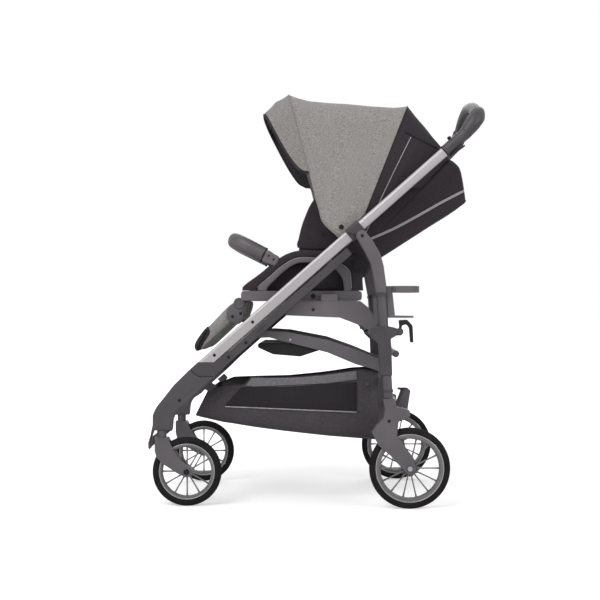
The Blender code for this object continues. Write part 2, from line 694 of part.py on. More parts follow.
def build_rear_frame(label, side):
    """Arch, leg tube, clamp with the link pivots, and the fork of one rear leg."""
    half = ARCH_THICKNESS / 2
    head = arc(FOLD_PIVOT, 0.0150, 215, 60, 6)
    outer = mm_points((143, 692), (161, 661), (170, 628), (176.5, 580), (178.0, 556.3))
    inner = mm_points((150.3, 556.3), (146, 580), (136, 634), (121, 664))
    name = f"rear_arch_{label}"
    arch = side_prism(name, head + outer + inner, side, LEG_Y - half, LEG_Y + half, grey_plastic(), 0.003)
    pin_end = RAIL_Y + RAIL_WIDTH / 2 + 0.0007
    join(arch, rod(f"fold_pin_{label}", FOLD_PIVOT, side * pin_end, side * LEG_Y, FOLD_PIN_RADIUS, grey_plastic()))

    top = Vector((LEG_TOP[0], side * LEG_Y, LEG_TOP[1]))
    bottom = Vector((LEG_BOTTOM[0], side * LEG_Y, LEG_BOTTOM[1]))
    sweep(f"rear_leg_{label}", [top, bottom], [LEG_RADIUS] * 2, grey_plastic(), segments=20)

    half = CLAMP_THICKNESS / 2
    front = mm_points((160, 344), (157, 425), (141, 440), (135, 454), (140, 467), (156, 472))
    back = mm_points((184, 472), (203, 468), (206, 456), (200, 446), (188, 440), (190, 418),
                     (192, 344))
    name = f"leg_clamp_{label}"
    clamp = side_prism(name, front + back, side, LEG_Y - half, LEG_Y + half, dark_plastic(), 0.002)
    reach = (bottom - top) * 0.2
    bore = LEG_RADIUS + CLEARANCE
    cut(clamp, sweep(f"clamp_bore_{label}", [top - reach, bottom + reach], [bore] * 2, dark_plastic(), segments=24))
    clamp_inner = LEG_Y - half + 0.0008
    for pivot, inner_face, tag in ((LINK_PIVOT, LINK_INNER, "link"), (SEAT_PIVOT, BAR_INNER, "seat")):
        pin = rod(f"{tag}_pin_{label}", pivot, side * inner_face, side * clamp_inner, PIVOT_PIN_RADIUS, dark_plastic())
        join(clamp, pin)
    if side < 0:
        ear_outer = LEVER_SLAB[0] - CLEARANCE
        ear = mm_points((196, 446), (209, 448), (217, 455), (215, 463), (203, 467))
        join(clamp, side_prism("lever_ear", ear, side, clamp_inner + 0.0008, ear_outer, dark_plastic()))
        join(clamp, rod("lever_pin", LEVER_PIVOT, side * (ear_outer - 0.002), side * (LEVER_SLAB[1] - 0.002),
                        LEVER_PIN_RADIUS, dark_plastic(), 12))

    half = REAR_FORK_THICKNESS / 2
    y = side * REAR_WHEEL_Y
    neck = mm_points((168, 285.6), (198, 285.6), (203, 264), (219, 261), (237, 255), (238, 240), (226, 233), (208, 226))
    arm = mm_points((204, 190)) + [(0.2475, 0.1310)] + arc(REAR_AXLE, 0.0150, 30, -150, 6)
    back_edge = mm_points((188, 138), (156, 165), (139, 199), (150, 215), (170, 236), (173, 258))
    fork = prism(f"rear_fork_{label}", neck + arm + back_edge, y - half, y + half, grey_plastic())
    cut(fork, wheel_room(f"rear_room_{label}", REAR_AXLE, y, REAR_WHEEL_RADIUS, REAR_FORK_THICKNESS))
    cut(fork, rod(f"rear_axle_hole_{label}", REAR_AXLE, y - 0.03, y + 0.03, AXLE_RADIUS + CLEARANCE, grey_plastic()))
    axle_bolt(f"rear_axle_{label}", REAR_AXLE, y, side, REAR_FORK_THICKNESS)
    name = f"rear_rim_{label}"
    wheel_rim(name, REAR_AXLE, y, REAR_RIM_RADIUS, REAR_RIM_DEPTH, REAR_SPOKES, silver(), gear_side=-side)
    tyre(f"rear_tyre_{label}", REAR_AXLE, y, REAR_WHEEL_RADIUS, REAR_RIM_RADIUS)


def build_rear_crossings():
    """The cross tube between the legs, and the brake bar with its pedal."""
    reach = LEG_Y - CLAMP_THICKNESS / 2 - CLEARANCE
    rod("rear_cross_tube", CROSS_TUBE, -reach, reach, CROSS_TUBE_RADIUS, dark_plastic())
    reach = REAR_WHEEL_Y - REAR_FORK_THICKNESS / 2 - CLEARANCE
    rod("brake_bar", BRAKE_PIVOT, -reach, reach, BRAKE_RADIUS, dark_plastic())
    x, z = BRAKE_PIVOT
    bore = BRAKE_RADIUS + CLEARANCE
    outline = [(x - 0.013, z - 0.012), (x + 0.012, z - 0.012), (x + 0.022, z + PEDAL_HEIGHT),
               (x + 0.022 - PEDAL_DEPTH, z + PEDAL_HEIGHT), (x - 0.014, z + 0.012)]
    pedal = prism("brake_pedal", outline, PEDAL_Y[0], PEDAL_Y[1], dark_plastic(), bevel=0.003)
    cut(pedal, rod("pedal_bore", BRAKE_PIVOT, PEDAL_Y[0] - 0.01, PEDAL_Y[1] + 0.01, bore, dark_plastic(), 24))


def build_cup_holder():
    """Open ring with a back plate and a foot, clipped to the left leg."""
    x, z = CUP_CENTRE
    low, high = z - CUP_RIM_HEIGHT / 2, z + CUP_RIM_HEIGHT / 2
    profile = [(CUP_RADIUS - CUP_WALL, low), (CUP_RADIUS, low), (CUP_RADIUS, high), (CUP_RADIUS - CUP_WALL, high)]
    holder = turned("cup_holder", profile, (x, CUP_Y, 0.0), dark_plastic(), 28, "Z")
    back = x - CUP_RADIUS
    leg_face = LEG_TOP[0] + LEG_RADIUS + CLEARANCE
    plate = [
        (leg_face + 0.0005, high), (leg_face + 0.0005, z - 0.015), (leg_face + 0.0039, z - CUP_DROP),
        (back + 0.060, z - CUP_DROP),
        (back + 0.060, z - CUP_DROP + 0.005), (back + 0.012, z - CUP_DROP + 0.006), (back + 0.006, low - 0.004),
        (back + CUP_WALL - 0.001, high),
    ]
    join(holder, prism("cup_plate", plate, CUP_Y - 0.014, CUP_Y + 0.014, dark_plastic()))


def build_fold_lever():
    """Release hook behind the left leg, hinged in the clamp."""
    hook = mm_points((206.5, 453), (216, 453), (217, 474), (229, 477), (236, 468), (239, 430), (247, 430),
                     (245, 474), (231, 489), (209, 488), (211, 470), (206.5, 462))
    inner, outer = LEVER_SLAB
    lever = side_prism("fold_lever", rounded(hook, 0.003, 2), -1, inner, outer, dark_plastic())
    bore = LEVER_PIN_RADIUS + CLEARANCE
    cut(lever, rod("lever_bore", LEVER_PIVOT, -inner + 0.003, -outer + CLEARANCE, bore, dark_plastic(), 16))


def link_outline():
    """Plate from its rear pivot forward to the slot of the sub rail."""
    front = on_rail(LINK_REACH_U, PIVOT_V)
    nose = arc(front, 0.009, 250, 110, 5)
    top = mm_points((-129, 459), (-82, 456), (26, 435), (100, 409), (150, 388))
    tail = arc(LINK_PIVOT, 0.014, 60, -110, 7)
    under = mm_points((100, 370), (26, 401), (-89, 430), (-129, 441))
    return nose + top + tail + under


def bar_front():
    """The front pivot of the seat bar, on the slot line of the sub rail."""
    u, v = to_rail(SEAT_PIVOT)
    return on_rail(u - math.sqrt(BAR_LENGTH ** 2 - (PIVOT_V - v) ** 2), PIVOT_V)


def bar_outline():
    """Plate under the seat, from the sub rail back to the leg."""
    front = bar_front()
    nose = [(front[0] - 0.004, 0.500), (front[0] - 0.007, 0.508), (front[0] - 0.007, 0.524), (front[0], 0.5380)]
    top = [(0.112, 0.5380)] + mm_points((132, 522), (150, 496))
    tail = arc(SEAT_PIVOT, 0.0135, 20, -130, 6)
    under = mm_points((118, 470), (58, 494))
    return nose + top + tail + under


def build_links(label, side):
    """Lower link and seat bar of one side."""
    outer = LINK_INNER + LINK_THICKNESS
    name = f"lower_link_{label}"
    link = side_prism(name, link_outline(), side, LINK_INNER, outer, dark_plastic(), 0.001)
    hole = PIVOT_PIN_RADIUS + CLEARANCE
    low, high = side * (LINK_INNER - 0.01), side * (outer + 0.01)
    cut(link, rod(f"link_hole_{label}", LINK_PIVOT, low, high, hole, dark_plastic()))

    outer = BAR_INNER + BAR_THICKNESS
    bar = side_prism(f"seat_bar_{label}", bar_outline(), side, BAR_INNER, outer, grey_plastic(), 0.001)
    low, high = side * (BAR_INNER - 0.01), side * (outer + 0.01)
    cut(bar, rod(f"bar_hole_{label}", SEAT_PIVOT, low, high, hole, grey_plastic()))


def build_brace():
    """Boat-shaped brace that ties both lower links together under the seat."""
    half = LINK_INNER - CLEARANCE
    outline = mm_points((-160, 419), (29, 419), (29, 409), (-47, 384), (-120, 390), (-160, 408))
    outline = [(x, z + 0.006) for x, z in outline]
    prism("x_brace", outline, -half, half, dark_plastic(), bevel=0.002)


def build_basket():
    """Fabric bag, open at the top."""
    top = mm_points((-262, 334), (-53, 343), (101, 347), (160, 347))
    bottom = mm_points((160, 172), (-89, 199), (-310, 236), (-308, 300))
    half = BASKET_HALF_WIDTH
    basket = prism("basket", top + bottom, -half, half, dark_fabric())
    wall = BASKET_WALL
    inner = [(-0.258, 0.40), (0.156, 0.40), (0.156, 0.172 + wall * 1.2), (-0.089, 0.199 + wall), (-0.306, 0.236 + wall),
             (-0.304, 0.300), (-0.258, 0.331)]
    cut(basket, prism("basket_room", inner, -half + wall, half - wall, dark_fabric()))
    rear_strap = mm_points((156.5, 300), (163.8, 300), (163.8, 344), (156.5, 344))
    front_strap = mm_points((-322, 296), (-305, 286), (-268, 318), (-284, 333))
    for label, side in SIDES:
        strap = side_prism(f"rear_strap_{label}", rear_strap, side, half - wall / 2, LEG_Y, dark_fabric())
        join(basket, strap)
        reach = RAIL_Y - HOUSING_THICKNESS / 2 - CLEARANCE
        strap = side_prism(f"front_strap_{label}", front_strap, side, half - wall / 2, reach, dark_fabric())
        join(basket, strap)


def bumper_directions():
    """The way the bumper bar pulls out of its sockets, and the direction square to it."""
    forward = Vector((math.cos(BUMPER_ANGLE), math.sin(BUMPER_ANGLE)))
    return forward, Vector((forward.y, -forward.x))


def build_seat():
    """Seat base, cushion, side hoops with bumper sockets."""
    base = mm_points((-205, 539.3), (60, 539.3), (117, 539.3), (117, 565), (-205, 565))
    seat = prism("seat_base", rounded(base, 0.008, 2), -SEAT_HALF_WIDTH, SEAT_HALF_WIDTH, melange_fabric())
    tab = rounded(mm_points((8, 538.4), (52, 538.4), (52, 556), (8, 556)), 0.004, 2)
    for label, side in SIDES:
        join(seat, side_prism(f"seat_tab_{label}", tab, side, SEAT_HALF_WIDTH - 0.004, BAR_INNER + BAR_THICKNESS,
                              melange_fabric()))
    cushion = [(-0.196, SEAT_TOP + CLEARANCE), (0.084, SEAT_TOP + CLEARANCE), (0.084, SEAT_TOP + CUSHION_HEIGHT),
               (-0.190, SEAT_TOP + CUSHION_HEIGHT)]
    half = CUSHION_HALF_WIDTH
    prism("seat_cushion", rounded(cushion, 0.010, 2), -half, half, melange_fabric())
    outer = mm_points((-203, 565.3), (-196, 580), (-154, 612), (-106, 651), (-62, 671), (-10, 672), (45, 664), (92, 652),
                      (117, 645), (121, 630), (118, 600), (121, 565.3))
    inner = mm_points((70, 565.3), (66, 595), (50, 620), (18, 637), (-47, 640), (-86, 620), (-130, 577), (-136, 565.3))
    forward, across = bumper_directions()
    face = Vector(BUMPER_FACE)
    socket = [face + across * 0.013, face - forward * 0.030 + across * 0.013, face - forward * 0.030 - across * 0.013,
              face - across * 0.013]
    for label, side in SIDES:
        name = f"armrest_hoop_{label}"
        hoop = side_prism(name, outer + inner, side, HOOP_INNER, SEAT_HALF_WIDTH, dark_fabric())
        join(hoop, side_prism(f"bumper_socket_{label}", socket, side, HOOP_INNER + 0.001, SEAT_HALF_WIDTH - 0.001,
                              grey_plastic()))


def build_backrest():
    """Rear shell with side wings, front pad and the dark rear panel of the canopy."""
    shell = mm_points((96, 614), (88, 640), (98, 664), (338, 912), (356, 917), (379, 897), (391, 838), (393, 800),
                      (166, 654), (126, 608))
    half = BACK_HALF_WIDTH
    back = prism("backrest_shell", shell, -half, half, dark_fabric(), bevel=0.004)
    wing = mm_points((-55, 680), (-48, 717), (-35, 760), (-8, 814), (110, 880), (260, 880), (150, 700), (104, 664),
                     (60, 680))
    for label, side in SIDES:
        join(back, side_prism(f"wing_{label}", wing, side, WING_INNER, half - 0.0005, dark_fabric()))
        pin = rod(f"back_pin_{label}", BACK_PIVOT, side * (half - 0.01), side * (HOOP_INNER - CLEARANCE),
                  BACK_PIN_RADIUS, dark_fabric())
        join(back, pin)
        reach = CANOPY_HALF_WIDTH - CANOPY_WALL - 2 * BOW_RADIUS - 3 * CLEARANCE
        join(back, rod(f"canopy_pin_{label}", CANOPY_PIVOT, side * (half - 0.003), side * reach, CANOPY_PIN_RADIUS,
                       dark_fabric()))
    gap = CLEARANCE * 2
    normal = Vector((-248, 240)).normalized()
    face = [Vector(p) for p in mm_points((102, 668), (330, 903.6))]
    lower = [p + normal * gap for p in face]
    upper = [p + normal * (gap + PAD_THICKNESS) for p in face]
    outline = [tuple(lower[0]), tuple(lower[1]), tuple(upper[1]), tuple(upper[0])]
    half = WING_INNER - 0.002
    prism("backrest_pad", rounded(outline, 0.008, 2), -half, half, melange_fabric())


def shell_from_ribs(name, ribs, look):
    """A thin curved sheet over U-shaped ribs, each a list of outer and inner points."""
    bm = bmesh.new()
    outer_rows, inner_rows = [], []
    for outer, inner in ribs:
        outer_rows.append([bm.verts.new(p) for p in outer])
        inner_rows.append([bm.verts.new(p) for p in inner])
    rows, columns = len(ribs), len(ribs[0][0])
    for r in range(rows - 1):
        for c in range(columns - 1):
            bm.faces.new((outer_rows[r][c], outer_rows[r][c + 1], outer_rows[r + 1][c + 1], outer_rows[r + 1][c]))
            bm.faces.new((inner_rows[r][c], inner_rows[r + 1][c], inner_rows[r + 1][c + 1], inner_rows[r][c + 1]))
    for c in range(columns - 1):
        for r in (0, rows - 1):
            bm.faces.new((outer_rows[r][c], outer_rows[r][c + 1], inner_rows[r][c + 1], inner_rows[r][c]))
    for r in range(rows - 1):
        for c in (0, columns - 1):
            bm.faces.new((outer_rows[r][c], outer_rows[r + 1][c], inner_rows[r + 1][c], inner_rows[r][c]))
    return finish(name, bm, look)


def rib(foot, head, half_width, crown, wall, shoulder=0.055, steps=5):
    """Outer and inner points of one U-shaped rib, from the left foot over the head to the right foot."""
    foot, head = Vector(foot), Vector(head)
    direction = (head - foot).normalized()
    rows = []
    for inset in (0.0, wall):
        width = half_width - inset
        length = (head - foot).length - inset
        points = [(foot, -width), (foot + direction * (length - shoulder) * 0.5, -width)]
        points.append((foot + direction * (length - shoulder), -width))
        for i in range(1, steps):
            a = math.pi / 2 * i / steps
            y = -width + shoulder * (1 - math.cos(a))
            reach = length - shoulder * (1 - math.sin(a))
            points.append((foot + direction * reach, y))
        flat = [(-width + shoulder) * t for t in (1.0, 0.5, 0.0)]
        for y in flat:
            rise = crown * (1 - (y / (width - shoulder)) ** 2)
            points.append((foot + direction * (length + rise), y))
        mirrored = [(place, -y) for place, y in reversed(points[:-1])]
        rows.append([(place.x, y, place.y) for place, y in points + mirrored])
    return rows[0], rows[1]


def build_canopy():
    """Bow, visor, folding shell and the fixed rear panel."""
    width = CANOPY_HALF_WIDTH
    wall = CANOPY_WALL
    crown = CANOPY_CROWN
    shell_feet = mm_points((-8, 815), (3, 780), (10, 752), (20, 738), (60, 702), (126, 772))
    shell_heads = mm_points((-77, 1093), (-40, 1081), (-16, 1076), (79, 1069), (203, 1059), (241, 1062))
    ribs = [rib(f, h, width, crown, wall) for f, h in zip(shell_feet, shell_heads)]
    shell_from_ribs("canopy_shell", ribs, melange_fabric())

    visor_feet = mm_points((-60, 850), (-30, 838), (-10.3, 822))
    visor_heads = mm_points((-143, 1045), (-114, 1074), (-79.5, 1093.5))
    ribs = [rib(f, h, width, crown * s, wall) for f, h, s in zip(visor_feet, visor_heads, (0.6, 0.8, 1.0))]
    shell_from_ribs("canopy_visor", ribs, melange_fabric())

    rear_feet = mm_points((126.5, 771.8), (176, 800), (236, 838), (272, 840))
    rear_heads = mm_points((241.5, 1061.8), (291, 1003), (328, 957), (350, 922))
    widths = (width, width, width - 0.010, BACK_HALF_WIDTH + wall + 0.002)
    rises = (crown, crown * 0.7, crown * 0.3, 0.0)
    shoulders = (0.055, 0.055, 0.040, 0.006)
    ribs = [rib(f, h, w, rise, wall, shoulder)
            for f, h, w, rise, shoulder in zip(rear_feet, rear_heads, widths, rises, shoulders)]
    shell_from_ribs("canopy_rear", ribs, dark_fabric())

    inset = wall + BOW_RADIUS + CLEARANCE * 2
    outer, inner = rib(CANOPY_PIVOT, mm_points((-78, 1090))[0], width - inset, crown, wall)
    length_cut = [Vector(p) for p in outer]
    centre = Vector((CANOPY_PIVOT[0], 0.0, CANOPY_PIVOT[1]))
    shrunk = []
    for point in length_cut:
        offset = Vector((point.x - centre.x, 0.0, point.z - centre.z))
        reach = offset.length
        if reach > 0.1:
            offset = offset * ((reach - inset) / reach)
        shrunk.append(Vector((centre.x + offset.x, point.y, centre.z + offset.z)))
    sweep("canopy_bow", shrunk, [BOW_RADIUS] * len(shrunk), dark_plastic(), segments=8)


def build_legrest():
    """Padded legrest with its hinge discs under the seat front."""
    top = mm_points((-185, 538.9), (-205, 538.9), (-222, 534), (-241, 520), (-295, 466))
    tip = mm_points((-329, 424), (-327, 407), (-316, 404))
    outline = top + tip + mm_points((-232, 478), (-199, 492), (-196, 520))
    prism("legrest", outline, -LEGREST_HALF_WIDTH, LEGREST_HALF_WIDTH, melange_fabric(), bevel=0.003)


def build_bumper():
    """Padded bumper bar in front of the child."""
    forward, _ = bumper_directions()
    start = Vector(BUMPER_FACE) + forward * CLEARANCE
    corner = Vector(BUMPER_FACE) + forward * BUMPER_REACH
    path = []
    for side in (-1, 1):
        leg = [(start.x, side * BUMPER_Y, start.y), (corner.x, side * BUMPER_Y, corner.y)]
        path.extend(leg if side < 0 else reversed(leg))
    points = round_path(path, 0.045, 6)
    sweep("bumper_bar", points, [BUMPER_RADIUS] * len(points), leatherette(), segments=14)


def joint_tree():
    """Each joint with its pivot, the joint that carries it, and the pieces that turn or slide with it."""
    slide = on_rail(COLLAR_START, 0.0)
    squeeze = on_rail(SLEEVE_START + 0.010, -SLEEVE_RADIUS - 0.003)
    both = [label for label, _ in SIDES]

    def pairs(*names):
        return [f"{name}_{label}" for name in names for label in both]

    tree = [
        ("frame_fold", (*FOLD_PIVOT, 0.0), None, pairs("handle_tube", "collar") + ["handle_bar", "handle_grip"]),
        ("front_slide", (*slide, 0.0), "frame_fold",
         pairs("lower_rail", "sub_rail", "front_housing") + ["front_strut"]),
        ("link_swing", (*LINK_PIVOT, 0.0), None, pairs("lower_link") + ["x_brace"]),
        ("seat_swing", (*SEAT_PIVOT, 0.0), None, pairs("seat_bar")),
        ("seat_lift", (*bar_front(), 0.0), "seat_swing", ["seat_base", "seat_cushion"] + pairs("armrest_hoop")),
        ("recline", (*BACK_PIVOT, 0.0), "seat_lift",
         ["backrest_shell", "backrest_pad", "canopy_rear", "canopy_shell"]),
        ("canopy_fold", (*CANOPY_PIVOT, 0.0), "recline", ["canopy_bow", "canopy_visor"]),
        ("legrest_tilt", (*LEGREST_PIVOT, 0.0), "seat_lift", ["legrest"]),
        ("bumper_pull", (*BUMPER_FACE, 0.0), "seat_lift", ["bumper_bar"]),
        ("brake_press", (*BRAKE_PIVOT, 0.0), None, ["brake_bar", "brake_pedal"]),
        ("lever_pull", (*LEVER_PIVOT, -LEG_Y), None, ["fold_lever"]),
    ]
    for label, side in SIDES:
        y = side * RAIL_Y
        tree.append((f"grip_squeeze_{label}", (*squeeze, y), "frame_fold", [f"handle_lever_{label}"]))
        swivel = f"front_swivel_{label}"
        tree.append((swivel, (SWIVEL_X, HOUSING_BOTTOM, y), "front_slide",
                     [f"front_fork_{label}", f"front_axle_{label}"]))
        tree.append((f"front_spin_{label}", (*FRONT_AXLE, y), swivel, [f"front_rim_{label}", f"front_tyre_{label}"]))
        place = (*REAR_AXLE, side * REAR_WHEEL_Y)
        tree.append((f"rear_spin_{label}", place, None, [f"rear_rim_{label}", f"rear_tyre_{label}"]))
    return tree


def centre_on_origin():
    """Move every outline along so that the whole stroller is centred over the origin."""
    for piece in bpy.data.objects:
        piece.data.transform(Matrix.Translation((ORIGIN_SHIFT, 0.0, 0.0)))


def mount_on_joints():
    """Hang the moving pieces on empties that stand on the axes of their joints."""
    places = {}
    for name, (x, z, y), carrier, pieces in joint_tree():
        place = Vector((x + ORIGIN_SHIFT, y, z))
        places[name] = place
        axis = bpy.data.objects.new(name, None)
        axis.empty_display_size = 0.02
        axis.location = place - places[carrier] if carrier else place
        axis.parent = bpy.data.objects[carrier] if carrier else None
        bpy.context.scene.collection.objects.link(axis)
        for piece in pieces:
            moving = bpy.data.objects[piece]
            moving.parent = axis
            moving.location = -place


def main():
    """Build every piece of the stroller."""
    for old in list(bpy.data.objects):
        bpy.data.objects.remove(old)
    for label, side in SIDES:
        build_front_wheel(label, side)
        build_front_frame(label, side)
        build_handle(label, side)
        build_handle_lever(label, side)
        build_rear_frame(label, side)
        build_links(label, side)
    build_front_strut()
    build_handle_bar()
    build_rear_crossings()
    build_cup_holder()
    build_fold_lever()
    build_brace()
    build_basket()
    build_seat()
    build_backrest()
    build_canopy()
    build_legrest()
    build_bumper()
    centre_on_origin()
    mount_on_joints()


main()
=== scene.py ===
"""Dresses the reversible stroller: rounded housings, spoked wheels, sewn hood, seat pads and basket.

Metres, +Z up, and the stroller rolls towards -X. Side-view outlines are written in millimetres and
turned to metres by side_view(). Every finished piece sits at the origin with its place in its mesh.
"""
from __future__ import annotations

import json
import logging
import math
from dataclasses import dataclass
from enum import Enum

import bmesh
import bpy
import numpy as np
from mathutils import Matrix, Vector
from numpy.typing import NDArray

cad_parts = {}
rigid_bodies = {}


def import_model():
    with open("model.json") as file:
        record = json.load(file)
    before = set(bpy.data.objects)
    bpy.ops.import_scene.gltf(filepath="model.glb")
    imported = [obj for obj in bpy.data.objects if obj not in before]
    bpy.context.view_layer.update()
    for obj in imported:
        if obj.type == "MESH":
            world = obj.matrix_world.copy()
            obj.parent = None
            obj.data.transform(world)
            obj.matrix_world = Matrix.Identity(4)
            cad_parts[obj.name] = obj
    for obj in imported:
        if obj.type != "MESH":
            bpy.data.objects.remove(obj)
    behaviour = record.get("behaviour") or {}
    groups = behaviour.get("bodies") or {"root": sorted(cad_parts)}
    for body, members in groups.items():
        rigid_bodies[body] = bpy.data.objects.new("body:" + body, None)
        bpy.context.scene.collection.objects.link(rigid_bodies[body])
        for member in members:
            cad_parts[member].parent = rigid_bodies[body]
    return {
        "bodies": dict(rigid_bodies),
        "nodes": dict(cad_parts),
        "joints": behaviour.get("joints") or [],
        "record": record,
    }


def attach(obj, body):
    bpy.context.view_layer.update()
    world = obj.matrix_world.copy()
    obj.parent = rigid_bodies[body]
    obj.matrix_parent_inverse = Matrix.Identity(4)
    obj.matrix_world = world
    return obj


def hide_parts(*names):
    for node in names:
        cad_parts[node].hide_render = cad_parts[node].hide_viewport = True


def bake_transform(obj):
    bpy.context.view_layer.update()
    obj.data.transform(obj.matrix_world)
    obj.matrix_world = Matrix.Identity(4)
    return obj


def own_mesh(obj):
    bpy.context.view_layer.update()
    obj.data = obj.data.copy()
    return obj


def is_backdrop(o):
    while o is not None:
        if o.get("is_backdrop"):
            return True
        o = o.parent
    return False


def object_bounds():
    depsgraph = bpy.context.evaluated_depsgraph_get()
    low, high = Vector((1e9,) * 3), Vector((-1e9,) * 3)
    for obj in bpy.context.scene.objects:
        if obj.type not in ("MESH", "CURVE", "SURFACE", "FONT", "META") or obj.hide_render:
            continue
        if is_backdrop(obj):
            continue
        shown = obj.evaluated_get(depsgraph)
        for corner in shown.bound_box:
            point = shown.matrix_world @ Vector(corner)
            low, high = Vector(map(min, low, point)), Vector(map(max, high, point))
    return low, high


Array = NDArray[np.float64]
Piece = bpy.types.Object
Socket = bpy.types.NodeSocket
Place = tuple[float, float]
Triple = tuple[float, float, float]
Outline = tuple[Place, ...]
ACROSS = np.array([0.0, 1.0, 0.0])
LOG = logging.getLogger("stroller")

MM = 0.001
ORIGIN_SHIFT = 0.00555
RAIL_ANGLE = math.radians(41.5)
RAIL_FOOT = np.array([-0.2919 + ORIGIN_SHIFT, 0.3774])
RAIL_ALONG = np.array([math.cos(RAIL_ANGLE), math.sin(RAIL_ANGLE)])
RAIL_ABOVE = np.array([-math.sin(RAIL_ANGLE), math.cos(RAIL_ANGLE)])
RAIL_Y = 0.215
LEG_Y = 0.2565


class Side(Enum):
    """The two sides of the stroller: the left is the near one in the photograph's view."""

    LEFT = -1
    RIGHT = 1

    def __str__(self) -> str:
        """The side's name as it ends a node's name."""
        return self.name.lower()


def side_view(*points: Place) -> Array:
    """Side-view places written in millimetres, as rows of x and z in metres."""
    return np.array(points, dtype=float) * MM + np.array([ORIGIN_SHIFT, 0.0])


def on_rail(*points: Place) -> Array:
    """Side-view places given along and above the rail in millimetres, as rows of x and z in metres."""
    places = np.array(points, dtype=float) * MM
    return RAIL_FOOT + places[:, :1] * RAIL_ALONG + places[:, 1:] * RAIL_ABOVE


def at_depth(places: Array, y: float | Array) -> Array:
    """Side-view rows of x and z, put at a distance y from the middle plane."""
    depth = np.broadcast_to(np.asarray(y, dtype=float), (len(places),))
    return np.stack([places[:, 0], depth, places[:, 1]], axis=1)


def smooth_line(points: Array, count: int, closed: bool = False) -> Array:
    """An even line through the given points.

    Between two points the line is the Catmull-Rom cubic of them and their neighbours. It is then
    read again at equal steps of its length.

    Args:
        points: Rows of two or three numbers.
        count: How many rows the line gets.
        closed: Whether the line comes back to its start.

    Returns:
        The rows of the line, with no doubled last row on a closed one.
    """
    rows = np.asarray(points, dtype=float)
    if closed:
        padded = np.vstack([rows[-1:], rows, rows[:2]])
    else:
        padded = np.vstack([2 * rows[0] - rows[1], rows, 2 * rows[-1] - rows[-2]])
    t = np.linspace(0.0, 1.0, 16, endpoint=False)[:, None, None]
    p0, p1, p2, p3 = padded[:-3], padded[1:-2], padded[2:-1], padded[3:]
    dense = 0.5 * (2 * p1 + (p2 - p0) * t + (2 * p0 - 5 * p1 + 4 * p2 - p3) * t ** 2
                   + (3 * p1 - p0 - 3 * p2 + p3) * t ** 3)
    dense = dense.transpose(1, 0, 2).reshape(-1, rows.shape[1])
    dense = np.vstack([dense, rows[:1] if closed else rows[-1:]])
    return even_line(dense, count, closed)


def travelled(points: Array) -> Array:
    """The length of a broken line up to each of its points."""
    steps = np.linalg.norm(np.diff(points, axis=0), axis=1)
    return np.concatenate([[0.0], np.cumsum(steps)])


def even_line(points: Array, count: int, closed: bool = False) -> Array:
    """The same broken line, read at equal steps of its length."""
    so_far = travelled(points)
    wanted = np.linspace(0.0, so_far[-1], count + 1 if closed else count)
    line = np.stack([np.interp(wanted, so_far, points[:, k]) for k in range(points.shape[1])], axis=1)
    return line[:-1] if closed else line


class Skin:
    """Collects grids of points into one mesh."""

    def __init__(self) -> None:
        """Start with no points."""
        self.points: list[Array] = []
        self.faces: list[list[int]] = []
        self.total = 0

    def grid(self, points: Array, wrap_rows: bool = False, wrap_columns: bool = False,
             caps: bool = False) -> Skin:
        """Add a grid of points with four-sided faces between neighbours.

        Args:
            points: Rows by columns by three numbers.
            wrap_rows: Whether the last row joins the first.
            wrap_columns: Whether the last column joins the first.
            caps: Whether the first and last rows are closed by one face each.

        Returns:
            This skin, so that calls can follow each other.
        """
        rows, columns = points.shape[:2]
        index = np.arange(rows * columns).reshape(rows, columns) + self.total
        if wrap_rows:
            index = np.vstack([index, index[:1]])
        if wrap_columns:
            index = np.hstack([index, index[:, :1]])
        quads = np.stack([index[:-1, :-1], index[:-1, 1:], index[1:, 1:], index[1:, :-1]], axis=-1)
        self.faces.extend(quads.reshape(-1, 4).tolist())
        if caps:
            self.faces.append(index[0, :columns][::-1].tolist())
            self.faces.append(index[-1, :columns].tolist())
        self.points.append(points.reshape(-1, 3))
        self.total += rows * columns
        return self

    def build(self, name: str, finish: Finish, sharp: float = 40.0, outward: bool = True) -> Piece:
        """Make the object.

        Args:
            name: The piece's name.
            finish: What it is made of.
            sharp: Edges bent by more degrees than this stay sharp.
            outward: Whether the faces are turned to point out.

        Returns:
            The new object, at the origin.
        """
        mesh = bpy.data.meshes.new(name)
        mesh.from_pydata(np.vstack(self.points).tolist(), [], self.faces)
        if outward:
            work = bmesh.new()
            work.from_mesh(mesh)
            bmesh.ops.remove_doubles(work, verts=work.verts, dist=1e-6)
            bmesh.ops.recalc_face_normals(work, faces=work.faces)
            work.to_mesh(mesh)
            work.free()
        mesh.shade_smooth()
        mesh.set_sharp_from_angle(angle=math.radians(sharp))
        mesh.materials.append(finish.material())
        piece = bpy.data.objects.new(name, mesh)
        bpy.context.scene.collection.objects.link(piece)
        return piece


def ring(power: float, around: int) -> tuple[Array, Array]:
    """The two coordinates of a superellipse: a circle at power 2, squarer above it."""
    t = np.linspace(0.0, 2 * math.pi, around, endpoint=False)
    c, s = np.cos(t), np.sin(t)
    return np.sign(c) * np.abs(c) ** (2 / power), np.sign(s) * np.abs(s) ** (2 / power)


